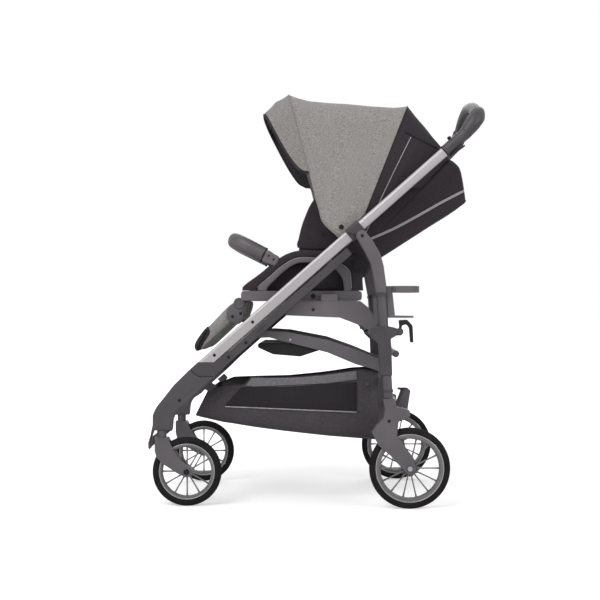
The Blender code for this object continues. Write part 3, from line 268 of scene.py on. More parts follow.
def carried(path: Array, across: Array, half_width: float | Array, half_height: float | Array,
            power: float = 2.0, around: int = 20, ends: float = 0.0) -> Array:
    """A superellipse section carried along a path.

    Each row is the path's point plus the section, whose width lies along the given direction and
    whose height lies square to it and to the path. Near the ends the section shrinks as a quarter
    circle, over the given length.

    Args:
        path: Rows of three numbers.
        across: One direction, or one for each row.
        half_width: Half the section's width, or one for each row.
        half_height: Half its height, or one for each row.
        power: How square the section is.
        around: Points around it.
        ends: Length over which each end is rounded off.

    Returns:
        A grid of rows by around by three.
    """
    ahead = np.gradient(path, axis=0)
    ahead /= np.linalg.norm(ahead, axis=1, keepdims=True)
    wide = np.broadcast_to(np.asarray(across, dtype=float), path.shape).copy()
    wide -= ahead * np.sum(wide * ahead, axis=1, keepdims=True)
    wide /= np.linalg.norm(wide, axis=1, keepdims=True)
    high = np.cross(ahead, wide)
    a = np.broadcast_to(np.asarray(half_width, dtype=float), (len(path),))
    b = np.broadcast_to(np.asarray(half_height, dtype=float), (len(path),))
    if ends > 0.0:
        so_far = travelled(path)
        near_end = np.minimum(so_far, so_far[-1] - so_far) / ends
        closing = np.sqrt(1.0 - (1.0 - np.clip(near_end, 0.02, 1.0)) ** 2)
        a, b = a * closing, b * closing
    c, s = ring(power, around)
    return (path[:, None, :] + wide[:, None, :] * (a[:, None] * c)[..., None]
            + high[:, None, :] * (b[:, None] * s)[..., None])


def eased(share: Array) -> Array:
    """A share from 0 to 1 that starts and ends softly; what lies outside is held at 0 or 1."""
    held = np.clip(share, 0.0, 1.0)
    return held ** 2 * (3 - 2 * held)


def spun(profile: Array, centre: Array, around: int) -> Array:
    """A profile of radius and depth rows, turned about an axis across the stroller through the centre."""
    t = np.linspace(0.0, 2 * math.pi, around, endpoint=False)
    radius, depth = profile[:, :1], np.repeat(profile[:, 1:], around, axis=1)
    return np.stack([radius * np.cos(t), depth, radius * np.sin(t)], axis=-1) + centre


def slab_grid(outline: Array, low: float, high: float, edge: float, steps: int = 5,
              crown: float = 0.0) -> Array:
    """A closed side-view outline carried across the stroller, with rounded edges.

    Row by row the depth goes from low to high. Within an edge's reach of either face the outline is
    drawn in along its own normals as a quarter circle, and the walls may swell by the crown.

    Args:
        outline: Closed rows of x and z.
        low: Depth of the near face.
        high: Depth of the far face.
        edge: Radius of the rounded edges.
        steps: Rows in each rounded edge.
        crown: How far the middle of the outline's walls swells.

    Returns:
        A grid of rows by outline points by three.
    """
    ahead = np.roll(outline, -1, axis=0) - np.roll(outline, 1, axis=0)
    ahead /= np.linalg.norm(ahead, axis=1, keepdims=True)
    inward = np.stack([-ahead[:, 1], ahead[:, 0]], axis=1)
    x, z = outline.T
    inward *= np.sign(np.sum(x * np.roll(z, -1) - z * np.roll(x, -1)))
    angle = np.linspace(0.0, math.pi / 2, steps + 1)
    start = edge * (1 - np.sin(angle))
    depth_start = low + edge * (1 - np.cos(angle))
    middle = np.linspace(low + edge, high - edge, 9)[1:-1]
    across = np.concatenate([depth_start, middle, (low + high) - depth_start[::-1]])
    inset = np.concatenate([start, np.zeros(len(middle)), start[::-1]])
    swell = crown * (1 - ((across - (low + high) / 2) / ((high - low) / 2)) ** 2)
    flat = outline + inward * (inset - swell)[:, None, None]
    depth = np.repeat(across[:, None], len(outline), axis=1)
    return np.stack([flat[..., 0], depth, flat[..., 1]], axis=-1)


class Recipe:
    """Builds one material from nodes."""

    def __init__(self, name: str) -> None:
        """Start a Principled material of that name."""
        self.made = bpy.data.materials.new(name)
        self.made.use_nodes = True
        self.tree = self.made.node_tree
        self.shader = self.tree.nodes["Principled BSDF"]

    def node(self, kind: str, **values: object) -> bpy.types.Node:
        """Add a node and set its properties, or its inputs where the name is an input's."""
        made = self.tree.nodes.new(kind)
        for key, value in values.items():
            title = key.replace("_", " ").title()
            if title in made.inputs:
                made.inputs[title].default_value = value
            else:
                setattr(made, key, value)
        return made

    def link(self, source: Socket, target: Socket) -> None:
        """Join two sockets."""
        self.tree.links.new(source, target)

    def place(self, scale: Triple = (1.0, 1.0, 1.0),
              turn: Triple = (0.0, 0.0, 0.0)) -> Socket:
        """Object coordinates through a mapping."""
        where = self.node("ShaderNodeTexCoord")
        mapping = self.node("ShaderNodeMapping")
        mapping.inputs["Scale"].default_value = scale
        mapping.inputs["Rotation"].default_value = turn
        self.link(where.outputs["Object"], mapping.inputs["Vector"])
        return mapping.outputs["Vector"]

    def paint(self, colour: Socket) -> None:
        """Make a colour the surface's own."""
        self.link(colour, self.shader.inputs["Base Color"])

    def feel(self, **values: float) -> None:
        """Set plain values of the surface: roughness, gloss, metallic, sheen and its softness."""
        inputs = {"roughness": "Roughness", "gloss": "Specular IOR Level", "metallic": "Metallic",
                  "sheen": "Sheen Weight", "softness": "Sheen Roughness"}
        for key, value in values.items():
            self.shader.inputs[inputs[key]].default_value = value

    def mottle(self, value: Socket, colour: Triple, dark: Place, light: Place) -> None:
        """Paint with a colour made darker and lighter where a value is low and high.

        Args:
            value: What the colour follows.
            colour: The colour between them.
            dark: The value where the darkest shade is reached, and that shade's factor.
            light: The same for the lightest shade.
        """
        stops = [(at, shade(colour, factor)) for at, factor in (dark, light)]
        self.paint(self.ramp(value, stops))

    def noise(self, vector: Socket, scale: float, detail: float = 3.0) -> Socket:
        """A noise value over a vector."""
        made = self.node("ShaderNodeTexNoise", scale=scale, detail=detail)
        self.link(vector, made.inputs["Vector"])
        return made.outputs["Fac"]

    def ramp(self, factor: Socket, stops: list[tuple[float, Triple]]) -> Socket:
        """Colours along a factor."""
        made = self.node("ShaderNodeValToRGB")
        band = made.color_ramp
        for index, (at, colour) in enumerate(stops):
            stop = band.elements[index] if index < 2 else band.elements.new(at)
            stop.position = at
            stop.color = (*colour, 1.0)
        self.link(factor, made.inputs["Fac"])
        return made.outputs["Color"]

    def tinted(self, first: Socket, second: Socket) -> Socket:
        """One colour multiplied by another."""
        made = self.node("ShaderNodeMix", data_type="RGBA", blend_type="MULTIPLY")
        made.inputs[0].default_value = 1.0
        self.link(first, made.inputs[6])
        self.link(second, made.inputs[7])
        return made.outputs[2]

    def sums(self, first: Socket, second: Socket, way: str = "ADD") -> Socket:
        """Add or multiply two values."""
        made = self.node("ShaderNodeMath", operation=way)
        self.link(first, made.inputs[0])
        self.link(second, made.inputs[1])
        return made.outputs[0]

    def bump(self, height: Socket, distance: float, strength: float = 1.0) -> None:
        """Raise the surface by a height."""
        made = self.node("ShaderNodeBump", distance=distance, strength=strength)
        self.link(height, made.inputs["Height"])
        self.link(made.outputs["Normal"], self.shader.inputs["Normal"])

    def shine(self, factor: Socket, low: float, high: float) -> None:
        """Vary the roughness between two values."""
        made = self.node("ShaderNodeMapRange")
        made.inputs["To Min"].default_value = low
        made.inputs["To Max"].default_value = high
        self.link(factor, made.inputs["Value"])
        self.link(made.outputs["Result"], self.shader.inputs["Roughness"])


def shade(colour: Triple, factor: float) -> Triple:
    """The colour made lighter or darker."""
    return tuple(min(1.0, part * factor) for part in colour)


@dataclass(frozen=True)
class Finish:
    """What a piece is made of."""

    name: str
    colour: Triple

    def fill(self, made: Recipe) -> None:
        """Build the surface from nodes."""
        raise NotImplementedError

    def material(self) -> bpy.types.Material:
        """The material, built once and shared."""
        found = bpy.data.materials.get(self.name)
        if found:
            return found
        made = Recipe(self.name)
        self.fill(made)
        return made.made


@dataclass(frozen=True)
class Moulded(Finish):
    """Grained plastic or satin paint, with faint mottling and softly polished high places."""

    roughness: float = 0.48
    grain: float = 900.0
    relief: float = 0.00012
    metallic: float = 0.0
    gloss: float = 0.5

    def fill(self, made: Recipe) -> None:
        """Build the surface from nodes."""
        where = made.place()
        made.mottle(made.noise(where, 14.0, 2.0), self.colour, (0.3, 0.88), (0.7, 1.12))
        grain = made.noise(where, self.grain, 2.0)
        made.shine(made.noise(where, 60.0, 4.0), self.roughness - 0.08, self.roughness + 0.08)
        made.bump(grain, self.relief)
        made.feel(metallic=self.metallic, gloss=self.gloss)


@dataclass(frozen=True)
class Anodised(Finish):
    """Satin aluminium, with drawn lines along the rail."""

    roughness: float = 0.34

    def fill(self, made: Recipe) -> None:
        """Build the surface from nodes."""
        lines = made.noise(made.place((6.0, 900.0, 900.0), (0.0, RAIL_ANGLE, 0.0)), 1.0, 3.0)
        made.mottle(lines, self.colour, (0.3, 0.93), (0.7, 1.06))
        made.shine(lines, self.roughness - 0.05, self.roughness + 0.07)
        made.bump(lines, 0.00002, 0.6)
        made.feel(metallic=0.6)


@dataclass(frozen=True)
class Woven(Finish):
    """Cloth with flecked yarns crossing over and under each other."""

    dark: float = 0.55
    light: float = 1.45
    fleck: float = 330.0
    pitch: float = 0.0016
    relief: float = 0.0003
    sheen: float = 0.15

    def fill(self, made: Recipe) -> None:
        """Build the surface from nodes."""
        where = made.place()
        fine = made.noise(where, self.fleck, 4.0)
        stretched = made.place((self.fleck * 0.25, self.fleck, self.fleck * 0.9), (0.0, 0.4, 0.0))
        yarn = made.sums(fine, made.noise(stretched, 1.0, 2.0), "MULTIPLY")
        dark, light = shade(self.colour, self.dark), shade(self.colour, self.light)
        stops = [(0.16, dark), (0.25, self.colour), (0.36, light)]
        mottled = made.ramp(yarn, stops)
        broad = made.ramp(made.noise(where, 9.0, 2.0), [(0.3, (0.92,) * 3), (0.7, (1.0,) * 3)])
        made.paint(made.tinted(mottled, broad))
        scale = 1.0 / self.pitch / math.pi
        warp = made.node("ShaderNodeTexWave", scale=scale, distortion=0.6, bands_direction="X")
        made.link(made.place((1.0, 0.2, 1.0), (0.0, math.radians(45), 0.0)), warp.inputs["Vector"])
        weft = made.node("ShaderNodeTexWave", scale=scale, distortion=0.6, bands_direction="Z")
        turned = made.place((1.0, 1.0, 1.0), (math.radians(20), math.radians(45), 0.0))
        made.link(turned, weft.inputs["Vector"])
        cross = made.sums(warp.outputs["Fac"], weft.outputs["Fac"], "MULTIPLY")
        made.bump(made.sums(cross, yarn), self.relief)
        made.feel(roughness=0.92, sheen=self.sheen, softness=0.5, gloss=0.2)


@dataclass(frozen=True)
class Netting(Finish):
    """Knitted mesh with rows of small dark holes."""

    pitch: float = 0.0032

    def fill(self, made: Recipe) -> None:
        """Build the surface from nodes."""
        cells = made.node("ShaderNodeTexVoronoi", scale=1.0 / self.pitch, randomness=0.12)
        made.link(made.place((1.0, 0.2, 1.0)), cells.inputs["Vector"])
        made.mottle(cells.outputs["Distance"], self.colour, (0.25, 0.25), (0.42, 1.0))
        made.bump(cells.outputs["Distance"], 0.0008)
        made.feel(roughness=0.85, gloss=0.25)


@dataclass(frozen=True)
class Leatherette(Finish):
    """Soft coated cloth with a fine pebble."""

    def fill(self, made: Recipe) -> None:
        """Build the surface from nodes."""
        where = made.place()
        cells = made.node("ShaderNodeTexVoronoi", scale=620.0, feature="SMOOTH_F1")
        made.link(where, cells.inputs["Vector"])
        broad = made.noise(where, 25.0, 3.0)
        made.mottle(broad, self.colour, (0.3, 0.82), (0.7, 1.15))
        made.bump(cells.outputs["Distance"], 0.0003)
        made.shine(broad, 0.42, 0.58)


@dataclass(frozen=True)
class Rubber(Finish):
    """Matt foam rubber with a dusty bloom."""

    def fill(self, made: Recipe) -> None:
        """Build the surface from nodes."""
        where = made.place()
        dust = made.noise(where, 40.0, 5.0)
        made.mottle(dust, self.colour, (0.35, 1.0), (0.75, 1.7))
        made.bump(made.noise(where, 500.0, 3.0), 0.0002)
        made.shine(dust, 0.72, 0.9)
        made.feel(gloss=0.12)


@dataclass(frozen=True)
class Striped(Finish):
    """Webbing with lengthwise stripes, read along the piece's own width."""

    stripe: Triple = (0.3, 0.29, 0.29)
    turns: float = 4.0

    def fill(self, made: Recipe) -> None:
        """Build the surface from nodes."""
        own = made.node("ShaderNodeAttribute", attribute_name="across")
        wave = made.node("ShaderNodeMath", operation="MULTIPLY")
        wave.inputs[1].default_value = self.turns
        made.link(own.outputs["Fac"], wave.inputs[0])
        saw = made.node("ShaderNodeMath", operation="PINGPONG")
        saw.inputs[1].default_value = 0.5
        made.link(wave.outputs[0], saw.inputs[0])
        colour = made.ramp(saw.outputs[0], [(0.2, self.colour), (0.3, self.stripe)])
        made.paint(colour)
        made.bump(made.noise(made.place(), 900.0, 2.0), 0.0003)
        made.feel(roughness=0.85)


SILVER = Anodised("silver_tube", (0.305, 0.293, 0.300))
GREY = Moulded("grey_moulding", (0.088, 0.080, 0.088), gloss=0.4)
SEAT_GREY = Moulded("seat_moulding", (0.098, 0.089, 0.098), gloss=0.4)
HOUSING = Moulded("housing_moulding", (0.056, 0.050, 0.056), gloss=0.4)
DARK = Moulded("dark_moulding", (0.048, 0.043, 0.048), roughness=0.45, gloss=0.35)
BLACK = Moulded("black_moulding", (0.012, 0.011, 0.012), roughness=0.6, gloss=0.2)
LEG_PAINT = Moulded("leg_paint", (0.075, 0.068, 0.075), roughness=0.38, grain=300.0, relief=0.00003,
                    metallic=0.3)
STEEL = Moulded("bright_steel", (0.42, 0.42, 0.43), roughness=0.3, grain=600.0, relief=0.00002,
                metallic=0.9)
RIM = Moulded("rim_moulding", (0.120, 0.115, 0.118), roughness=0.38, relief=0.00005)
RIM_EDGE = Moulded("rim_edge", (0.300, 0.292, 0.296), roughness=0.35, relief=0.00003, metallic=0.4)
TYRE = Rubber("tyre_rubber", (0.009, 0.008, 0.009))
MELANGE = Woven("melange_cloth", (0.262, 0.248, 0.238), dark=0.60, light=1.35, fleck=860.0)
MELANGE_SEAM = Woven("melange_seam", (0.215, 0.204, 0.199), dark=0.75, light=1.2, fleck=720.0, relief=0.0002)
VISOR = Woven("visor_cloth_weave", (0.235, 0.222, 0.212), dark=0.6, light=1.35, fleck=860.0)
CHARCOAL = Woven("charcoal_cloth", (0.029, 0.024, 0.029), dark=0.85, light=1.2, fleck=500.0,
                 relief=0.0002, sheen=0.05)
LINING = Woven("lining_cloth", (0.046, 0.041, 0.046), dark=0.75, light=1.35, relief=0.0002, sheen=0.05)
BASKET_CLOTH = Woven("basket_cloth", (0.056, 0.050, 0.056), dark=0.85, light=1.2, fleck=500.0,
                     relief=0.0002, sheen=0.05)
BASKET_BAND = Woven("basket_band_cloth", (0.140, 0.135, 0.140), dark=0.8, light=1.25, relief=0.0002)
NET = Netting("basket_net", (0.019, 0.016, 0.019))
GRIP_HIDE = Leatherette("grip_hide", (0.026, 0.022, 0.026))
BUMPER_HIDE = Leatherette("bumper_hide", (0.068, 0.060, 0.066))
PIPING = Woven("piping_cord", (0.30, 0.29, 0.29), dark=0.8, light=1.2, relief=0.0001)
STRAP = Striped("plain_webbing", (0.035, 0.032, 0.035), stripe=(0.055, 0.052, 0.055), turns=8.0)
SIDE_TAPE = Striped("side_tape", (0.150, 0.145, 0.149), stripe=(0.34, 0.33, 0.335), turns=3.0)
THREAD = Moulded("sewing_thread", (0.25, 0.24, 0.24), roughness=0.7, grain=1500.0)


class Stroller:
    """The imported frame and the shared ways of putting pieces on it."""

    def __init__(self) -> None:
        """Load the frame and note which body carries each node."""
        self.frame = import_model()
        self.body_of = {}
        for body, nodes in self.frame["record"]["behaviour"]["bodies"].items():
            for node in nodes:
                self.body_of[node] = body
        self.cad_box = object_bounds()
        self.dressed: set[str] = set()

    def fit(self, piece: Piece, body: str, *nodes: str, slot: str = "") -> Piece:
        """Put a finished piece on a body, in place of the given nodes."""
        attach(piece, body)
        if nodes:
            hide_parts(*nodes)
            self.dressed.update(nodes)
        LOG.info("%s on %s, %d faces", piece.name, body, len(piece.data.polygons))
        return piece

    def rounded(self, node: str, finish: Finish, width: float = 0.001, steps: int = 3) -> Piece:
        """A merged copy of a node with softened edges, standing for it.

        Args:
            node: The CAD node.
            finish: What it is made of.
            width: Width of the softened edges.
            steps: Faces across each softened edge.

        Returns:
            The new piece, riding on the node's body.
        """
        mesh = self.frame["nodes"][node].data.copy()
        work = bmesh.new()
        work.from_mesh(mesh)
        bmesh.ops.remove_doubles(work, verts=work.verts, dist=2e-6)
        bmesh.ops.dissolve_limit(work, angle_limit=math.radians(0.6), verts=work.verts, edges=work.edges)
        work.to_mesh(mesh)
        work.free()
        mesh.materials.clear()
        mesh.materials.append(finish.material())
        mesh.shade_smooth()
        mesh.set_sharp_from_angle(angle=math.radians(32))
        piece = bpy.data.objects.new(f"{node}_shell", mesh)
        bpy.context.scene.collection.objects.link(piece)
        soften = piece.modifiers.new("edges", "BEVEL")
        soften.width = width
        soften.segments = steps
        soften.limit_method = "ANGLE"
        soften.angle_limit = math.radians(32)
        soften.harden_normals = True
        return self.fit(piece, self.body_of[node], node)

    def fasten(self, name: str, place: Place, side: Side, face: float, profile: Outline,
               body: str, finish: Finish = BLACK, around: int = 24) -> None:
        """Put a small turned fitting on a body, standing out sideways from one of its faces.

        Args:
            name: The piece's name.
            place: Its side-view place in millimetres.
            side: The side it stands on.
            face: Distance of the face from the middle plane.
            profile: Radius and height rows in millimetres, from the face outwards.
            body: The body it rides on.
            finish: What it is made of.
            around: Points around it.
        """
        self.fit(disc_stack(name, side_view(place)[0], side, face, profile, finish, around), body)

    def dress(self, node: str, finish: Finish) -> None:
        """Give a CAD node its material."""
        piece = self.frame["nodes"][node]
        piece.data.materials.clear()
        piece.data.materials.append(finish.material())
        self.dressed.add(node)


def wall(piece: Piece, thickness: float, offset: float = -1.0) -> Piece:
    """Give an open sheet its thickness."""
    solid = piece.modifiers.new("wall", "SOLIDIFY")
    solid.thickness = thickness
    solid.offset = offset
    return piece


def solid(name: str, grid: Array, finish: Finish, sharp: float = 40.0) -> Piece:
    """A closed solid from a grid whose rows are rings, with both ends capped."""
    return Skin().grid(grid, wrap_columns=True, caps=True).build(name, finish, sharp=sharp)


def slab(name: str, outline: Array, faces: Place, edge: float, finish: Finish, steps: int = 5,
         crown: float = 0.0, sharp: float = 40.0) -> Piece:
    """A plate or pad between two depths, in either order, with the outline and edges of slab_grid."""
    return solid(name, slab_grid(outline, min(faces), max(faces), edge, steps, crown), finish, sharp)


def cloth_sheet(name: str, grid: Array, finish: Finish, thickness: float,
                offset: float = -1.0) -> Piece:
    """A sewn sheet of cloth, given its thickness.

    Args:
        name: The piece's name.
        grid: Its points.
        finish: What it is made of.
        thickness: Of the cloth with its lining.
        offset: Where the thickness goes: inwards at -1, to both sides at 0.

    Returns:
        The new object.
    """
    piece = Skin().grid(grid).build(name, finish, sharp=70)
    wall(piece, thickness, offset)
    return piece


def border(grid: Array) -> Array:
    """The closed line of a grid's outermost points."""
    return np.concatenate([grid[0, :-1], grid[:-1, -1], grid[-1, :0:-1], grid[:0:-1, 0]])


def closed_pad(upper: Array, lower: Array) -> Skin:
    """An upper and a lower grid of the same shape, with a wall between their borders."""
    rim = np.array([border(upper), border(lower)])
    return Skin().grid(upper).grid(lower[:, ::-1]).grid(rim, wrap_columns=True)


def tube(name: str, path: Array, radius: float | Array, finish: Finish, around: int = 12,
         across: Triple = (0.0, 1.0, 0.0), ends: float = 0.0) -> Piece:
    """A round bar, cord or wire along a path."""
    return solid(name, carried(path, np.array(across), radius, radius, 2.0, around, ends), finish)


def strap(name: str, path: Array, across: Array, width: float, thickness: float, finish: Finish) -> Piece:
    """A flat strap along a path, with its place across the width kept as an attribute.

    Args:
        name: The piece's name.
        path: Rows of three numbers along its middle.
        across: The direction of its width, or one for each row.
        width: Its width.
        thickness: Its thickness.
        finish: What it is made of.

    Returns:
        The new object.
    """
    power, around = 5.0, 28
    grid = carried(path, across, width / 2, thickness / 2, power, around)
    piece = Skin().grid(grid, wrap_columns=True, caps=True).build(name, finish, outward=False)
    share = (ring(power, around)[0] + 1) / 2
    kept = piece.data.attributes.new("across", "FLOAT", "POINT")
    kept.data.foreach_set("value", np.tile(share, len(path)).astype(np.float32))
    return piece


def stitches(name: str, path: Array, finish: Finish = THREAD) -> Piece:
    """A row of thread stitches along a path, each a short five-sided bar."""
    pitch, length, radius = 0.0046, 0.0030, 0.00045
    so_far = travelled(path)
    skin = Skin()
    for start in np.arange(0.001, so_far[-1] - length, pitch):
        wanted = np.linspace(start, start + length, 3)
        rows = np.stack([np.interp(wanted, so_far, path[:, k]) for k in range(3)], axis=1)
        bar = carried(rows, np.array([0.0, 1.0, 0.02]), radius, radius, 2.0, 5)
        skin.grid(bar, wrap_columns=True, caps=True)
    return skin.build(name, finish)


def disc_stack(name: str, place: Array, side: Side, face: float, profile: Outline, finish: Finish,
               around: int = 32) -> Piece:
    """A small turned fitting that stands out sideways from a face.

    Args:
        name: The piece's name.
        place: Its x and z.
        side: The side it stands on.
        face: Distance of the face from the middle plane.
        profile: Radius and height rows in millimetres, from the face outwards.
        finish: What it is made of.
        around: Points around it.

    Returns:
        The new object.
    """
    rows = np.array(profile) * MM
    rows[:, 1] = side.value * (face + rows[:, 1])
    centre = np.array([place[0], 0.0, place[1]])
    return solid(name, spun(rows, centre, around), finish, sharp=30)


SCREW = ((4.2, -0.5), (4.2, 0.5), (3.9, 1.0), (3.0, 1.3), (2.2, 1.35), (2.0, 0.5), (0.6, 0.4))
PIN = ((3.0, -0.5), (3.0, 0.3), (2.6, 0.8), (1.6, 1.2), (0.4, 1.3))
STUD = ((6.5, -0.3), (6.5, 0.9), (6.0, 1.5), (4.6, 1.6), (4.2, 1.0), (2.4, 0.9), (1.9, 1.4), (0.5, 1.6))


def swell_pad(piece: Piece) -> Piece:
    """Blow a pad up like sewn cloth over foam, and keep the result as its mesh.

    The mesh is remeshed to even cells, a cloth simulation runs for twenty frames under inner
    pressure with no gravity, and no point keeps more than the cap of its travel.

    Args:
        piece: The closed pad.

    Returns:
        The same object with its new mesh.
    """
    voxel, pressure, cap = 0.005, 3.0, 0.003
    remesh = piece.modifiers.new("cells", "REMESH")
    remesh.mode = "VOXEL"
    remesh.voxel_size = voxel
    settle(piece)
    start = np.array([v.co for v in piece.data.vertices])
    cloth = piece.modifiers.new("cloth", "CLOTH")
    cloth.settings.use_pressure = True
    cloth.settings.uniform_pressure_force = pressure
    cloth.settings.effector_weights.gravity = 0.0
    cloth.settings.quality = 4
    cloth.point_cache.frame_end = 20
    for frame in range(1, 21):
        bpy.context.scene.frame_set(frame)
    bpy.context.view_layer.update()
    settle(piece)
    end = np.array([v.co for v in piece.data.vertices])
    travel = end - start
    distance = np.linalg.norm(travel, axis=1, keepdims=True)
    limited = start + travel * np.minimum(1.0, cap / np.maximum(distance, 1e-9))
    piece.data.vertices.foreach_set("co", limited.astype(np.float32).ravel())
    bpy.context.scene.frame_set(1)
    piece.data.shade_smooth()
    return piece


def settle(piece: Piece) -> None:
    """Replace the piece's mesh by what its modifiers make of it, and drop them."""
    graph = bpy.context.evaluated_depsgraph_get()
    graph.update()
    made = bpy.data.meshes.new_from_object(piece.evaluated_get(graph), depsgraph=graph)
    piece.modifiers.clear()
    old = piece.data
    piece.data = made
    bpy.data.meshes.remove(old)


@dataclass
class Wheel:
    """A spoked wheel with its tyre."""

    stroller: Stroller
    place: str
    axle: Place
    depth: float
    radius: float
    rim_radius: float
    rim_depth: float
    spokes: int
    drum: float = 0.0
    width: float = 0.023

    def tyre(self, side: Side) -> None:
        """A foam tyre: a D section with three grooves around the tread."""
        half = self.width / 2
        t = np.linspace(-1.0, 1.0, 41)
        seat = self.rim_radius + 0.0003
        shoulder = (1 - np.abs(t) ** 3.2) ** 0.5
        grooves = 0.0009 * np.exp(-((np.abs(t) - 0.3) / 0.03) ** 2) + 0.0009 * np.exp(-(t / 0.03) ** 2)
        radius = seat + 0.004 + (self.radius - seat - 0.004) * shoulder - grooves
        profile = np.stack([radius, t * half], axis=1)
        profile = np.vstack([[seat, -half + 0.0015], profile, [seat, half - 0.0015]])
        grid = spun(profile, np.array([self.axle[0], side.value * self.depth, self.axle[1]]), 96)
        node = f"{self.place}_tyre_{side}"
        piece = Skin().grid(grid, wrap_rows=True, wrap_columns=True).build(f"{node}_tread", TYRE)
        self.stroller.fit(piece, f"{self.place}_wheel_{side}", node, slot="tyre")

    def rim(self, side: Side) -> None:
        """A dished rim with bright edges and flat spokes, each a tapering bar from the hub to the rim."""
        centre = np.array([self.axle[0], side.value * self.depth, self.axle[1]])
        half = self.width / 2 - 0.002
        outer, inner = self.rim_radius, self.rim_radius - self.rim_depth
        channel = np.array([
            (inner + 0.0014, -0.0030), (inner + 0.0004, -0.0012), (inner + 0.0004, 0.0012),
            (inner + 0.0014, 0.0030), (inner + 0.0030, half - 0.0012), (inner + 0.0042, half),
            (outer - 0.001, half), (outer, half - 0.001), (outer, -half + 0.001), (outer - 0.001, -half),
            (inner + 0.0042, -half), (inner + 0.0030, -half + 0.0012),
        ])
        skin = Skin().grid(spun(channel, centre, 96), wrap_rows=True, wrap_columns=True)
        hub = np.array([
            (0.0046, -half), (0.0100, -half), (0.0120, -half + 0.002), (0.0125, -0.0045), (0.0155, -0.0030),
            (0.0155, 0.0030), (0.0125, 0.0045), (0.0120, half - 0.002), (0.0100, half), (0.0046, half),
        ])
        skin.grid(spun(hub, centre, 48), wrap_rows=True, wrap_columns=True)
        reach = np.linspace(0.0135, inner + 0.0012, 7)
        blade = 0.0026 - 0.0009 * np.sin(np.linspace(0.0, math.pi, 7)) ** 0.5
        for angle in np.arange(self.spokes) * 2 * math.pi / self.spokes:
            path = centre + reach[:, None] * np.array([math.cos(angle), 0.0, math.sin(angle)])
            skin.grid(carried(path, ACROSS, 0.0030, blade, 3.0, 10), wrap_columns=True, caps=True)
        if self.drum:
            skin.grid(self.toothed_ring(side, half), wrap_rows=True, wrap_columns=True)
        name, body = f"{self.place}_rim_{side}", f"{self.place}_wheel_{side}"
        self.stroller.fit(skin.build(f"{name}_spoked", RIM, sharp=35), body, name, slot="rim_plastic")
        turn = np.linspace(0.0, 2 * math.pi, 10, endpoint=False)
        for label, face in (("near", -half), ("far", half)):
            bead = np.stack([outer - 0.0016 + 0.0014 * np.cos(turn), face + 0.0009 * np.sin(turn)], axis=1)
            edge = Skin().grid(spun(bead, centre, 96), wrap_rows=True, wrap_columns=True)
            self.stroller.fit(edge.build(f"{name}_edge_{label}", RIM_EDGE), body)

    def toothed_ring(self, side: Side, half: float) -> Array:
        """The toothed ring inside the rim that the brake's bar falls into."""
        t = np.arange(4 * 20)
        teeth = self.drum - 0.0028 * (t % 4 >= 2)
        angle = 2 * math.pi * t / len(t)
        near, far = (side.value * (self.depth - half + inset) for inset in (0.0010, 0.0045))
        rows = []
        for depth, radius in ((near, teeth), (far, teeth), (far, 0.011), (near, 0.011)):
            x, z = self.axle[0] + radius * np.cos(angle), self.axle[1] + radius * np.sin(angle)
            rows.append(np.stack([x, np.full(len(t), depth), z], axis=1))
        return np.array(rows)

    def cap(self, side: Side) -> None:
        """The axle bolt's washer and head on the outside."""
        face = self.depth + (0.0165 if self.place == "front" else 0.017)
        profile = ((7.6, 0.1), (7.6, 0.9), (6.8, 1.4), (5.2, 1.5), (5.0, 2.6), (3.4, 3.1), (0.5, 3.2))
        name = f"{self.place}_bolt_head_{side}"
        piece = disc_stack(name, np.array(self.axle), side, face, profile, BLACK)
        body = f"fork_{side}" if self.place == "front" else "rear_frame"
        self.stroller.fit(piece, body, slot="axle_steel")

    def build(self) -> None:
        """Make both wheels of the pair."""
        for side in Side:
            self.tyre(side)
            self.rim(side)
            self.cap(side)


def outer_face(piece: Piece) -> float:
    """The largest distance of a CAD piece's points from the middle plane."""
    flat = np.empty(len(piece.data.vertices) * 3, dtype=np.float32)
    piece.data.vertices.foreach_get("co", flat)
    return float(np.abs(flat.reshape(-1, 3)[:, 1]).max())


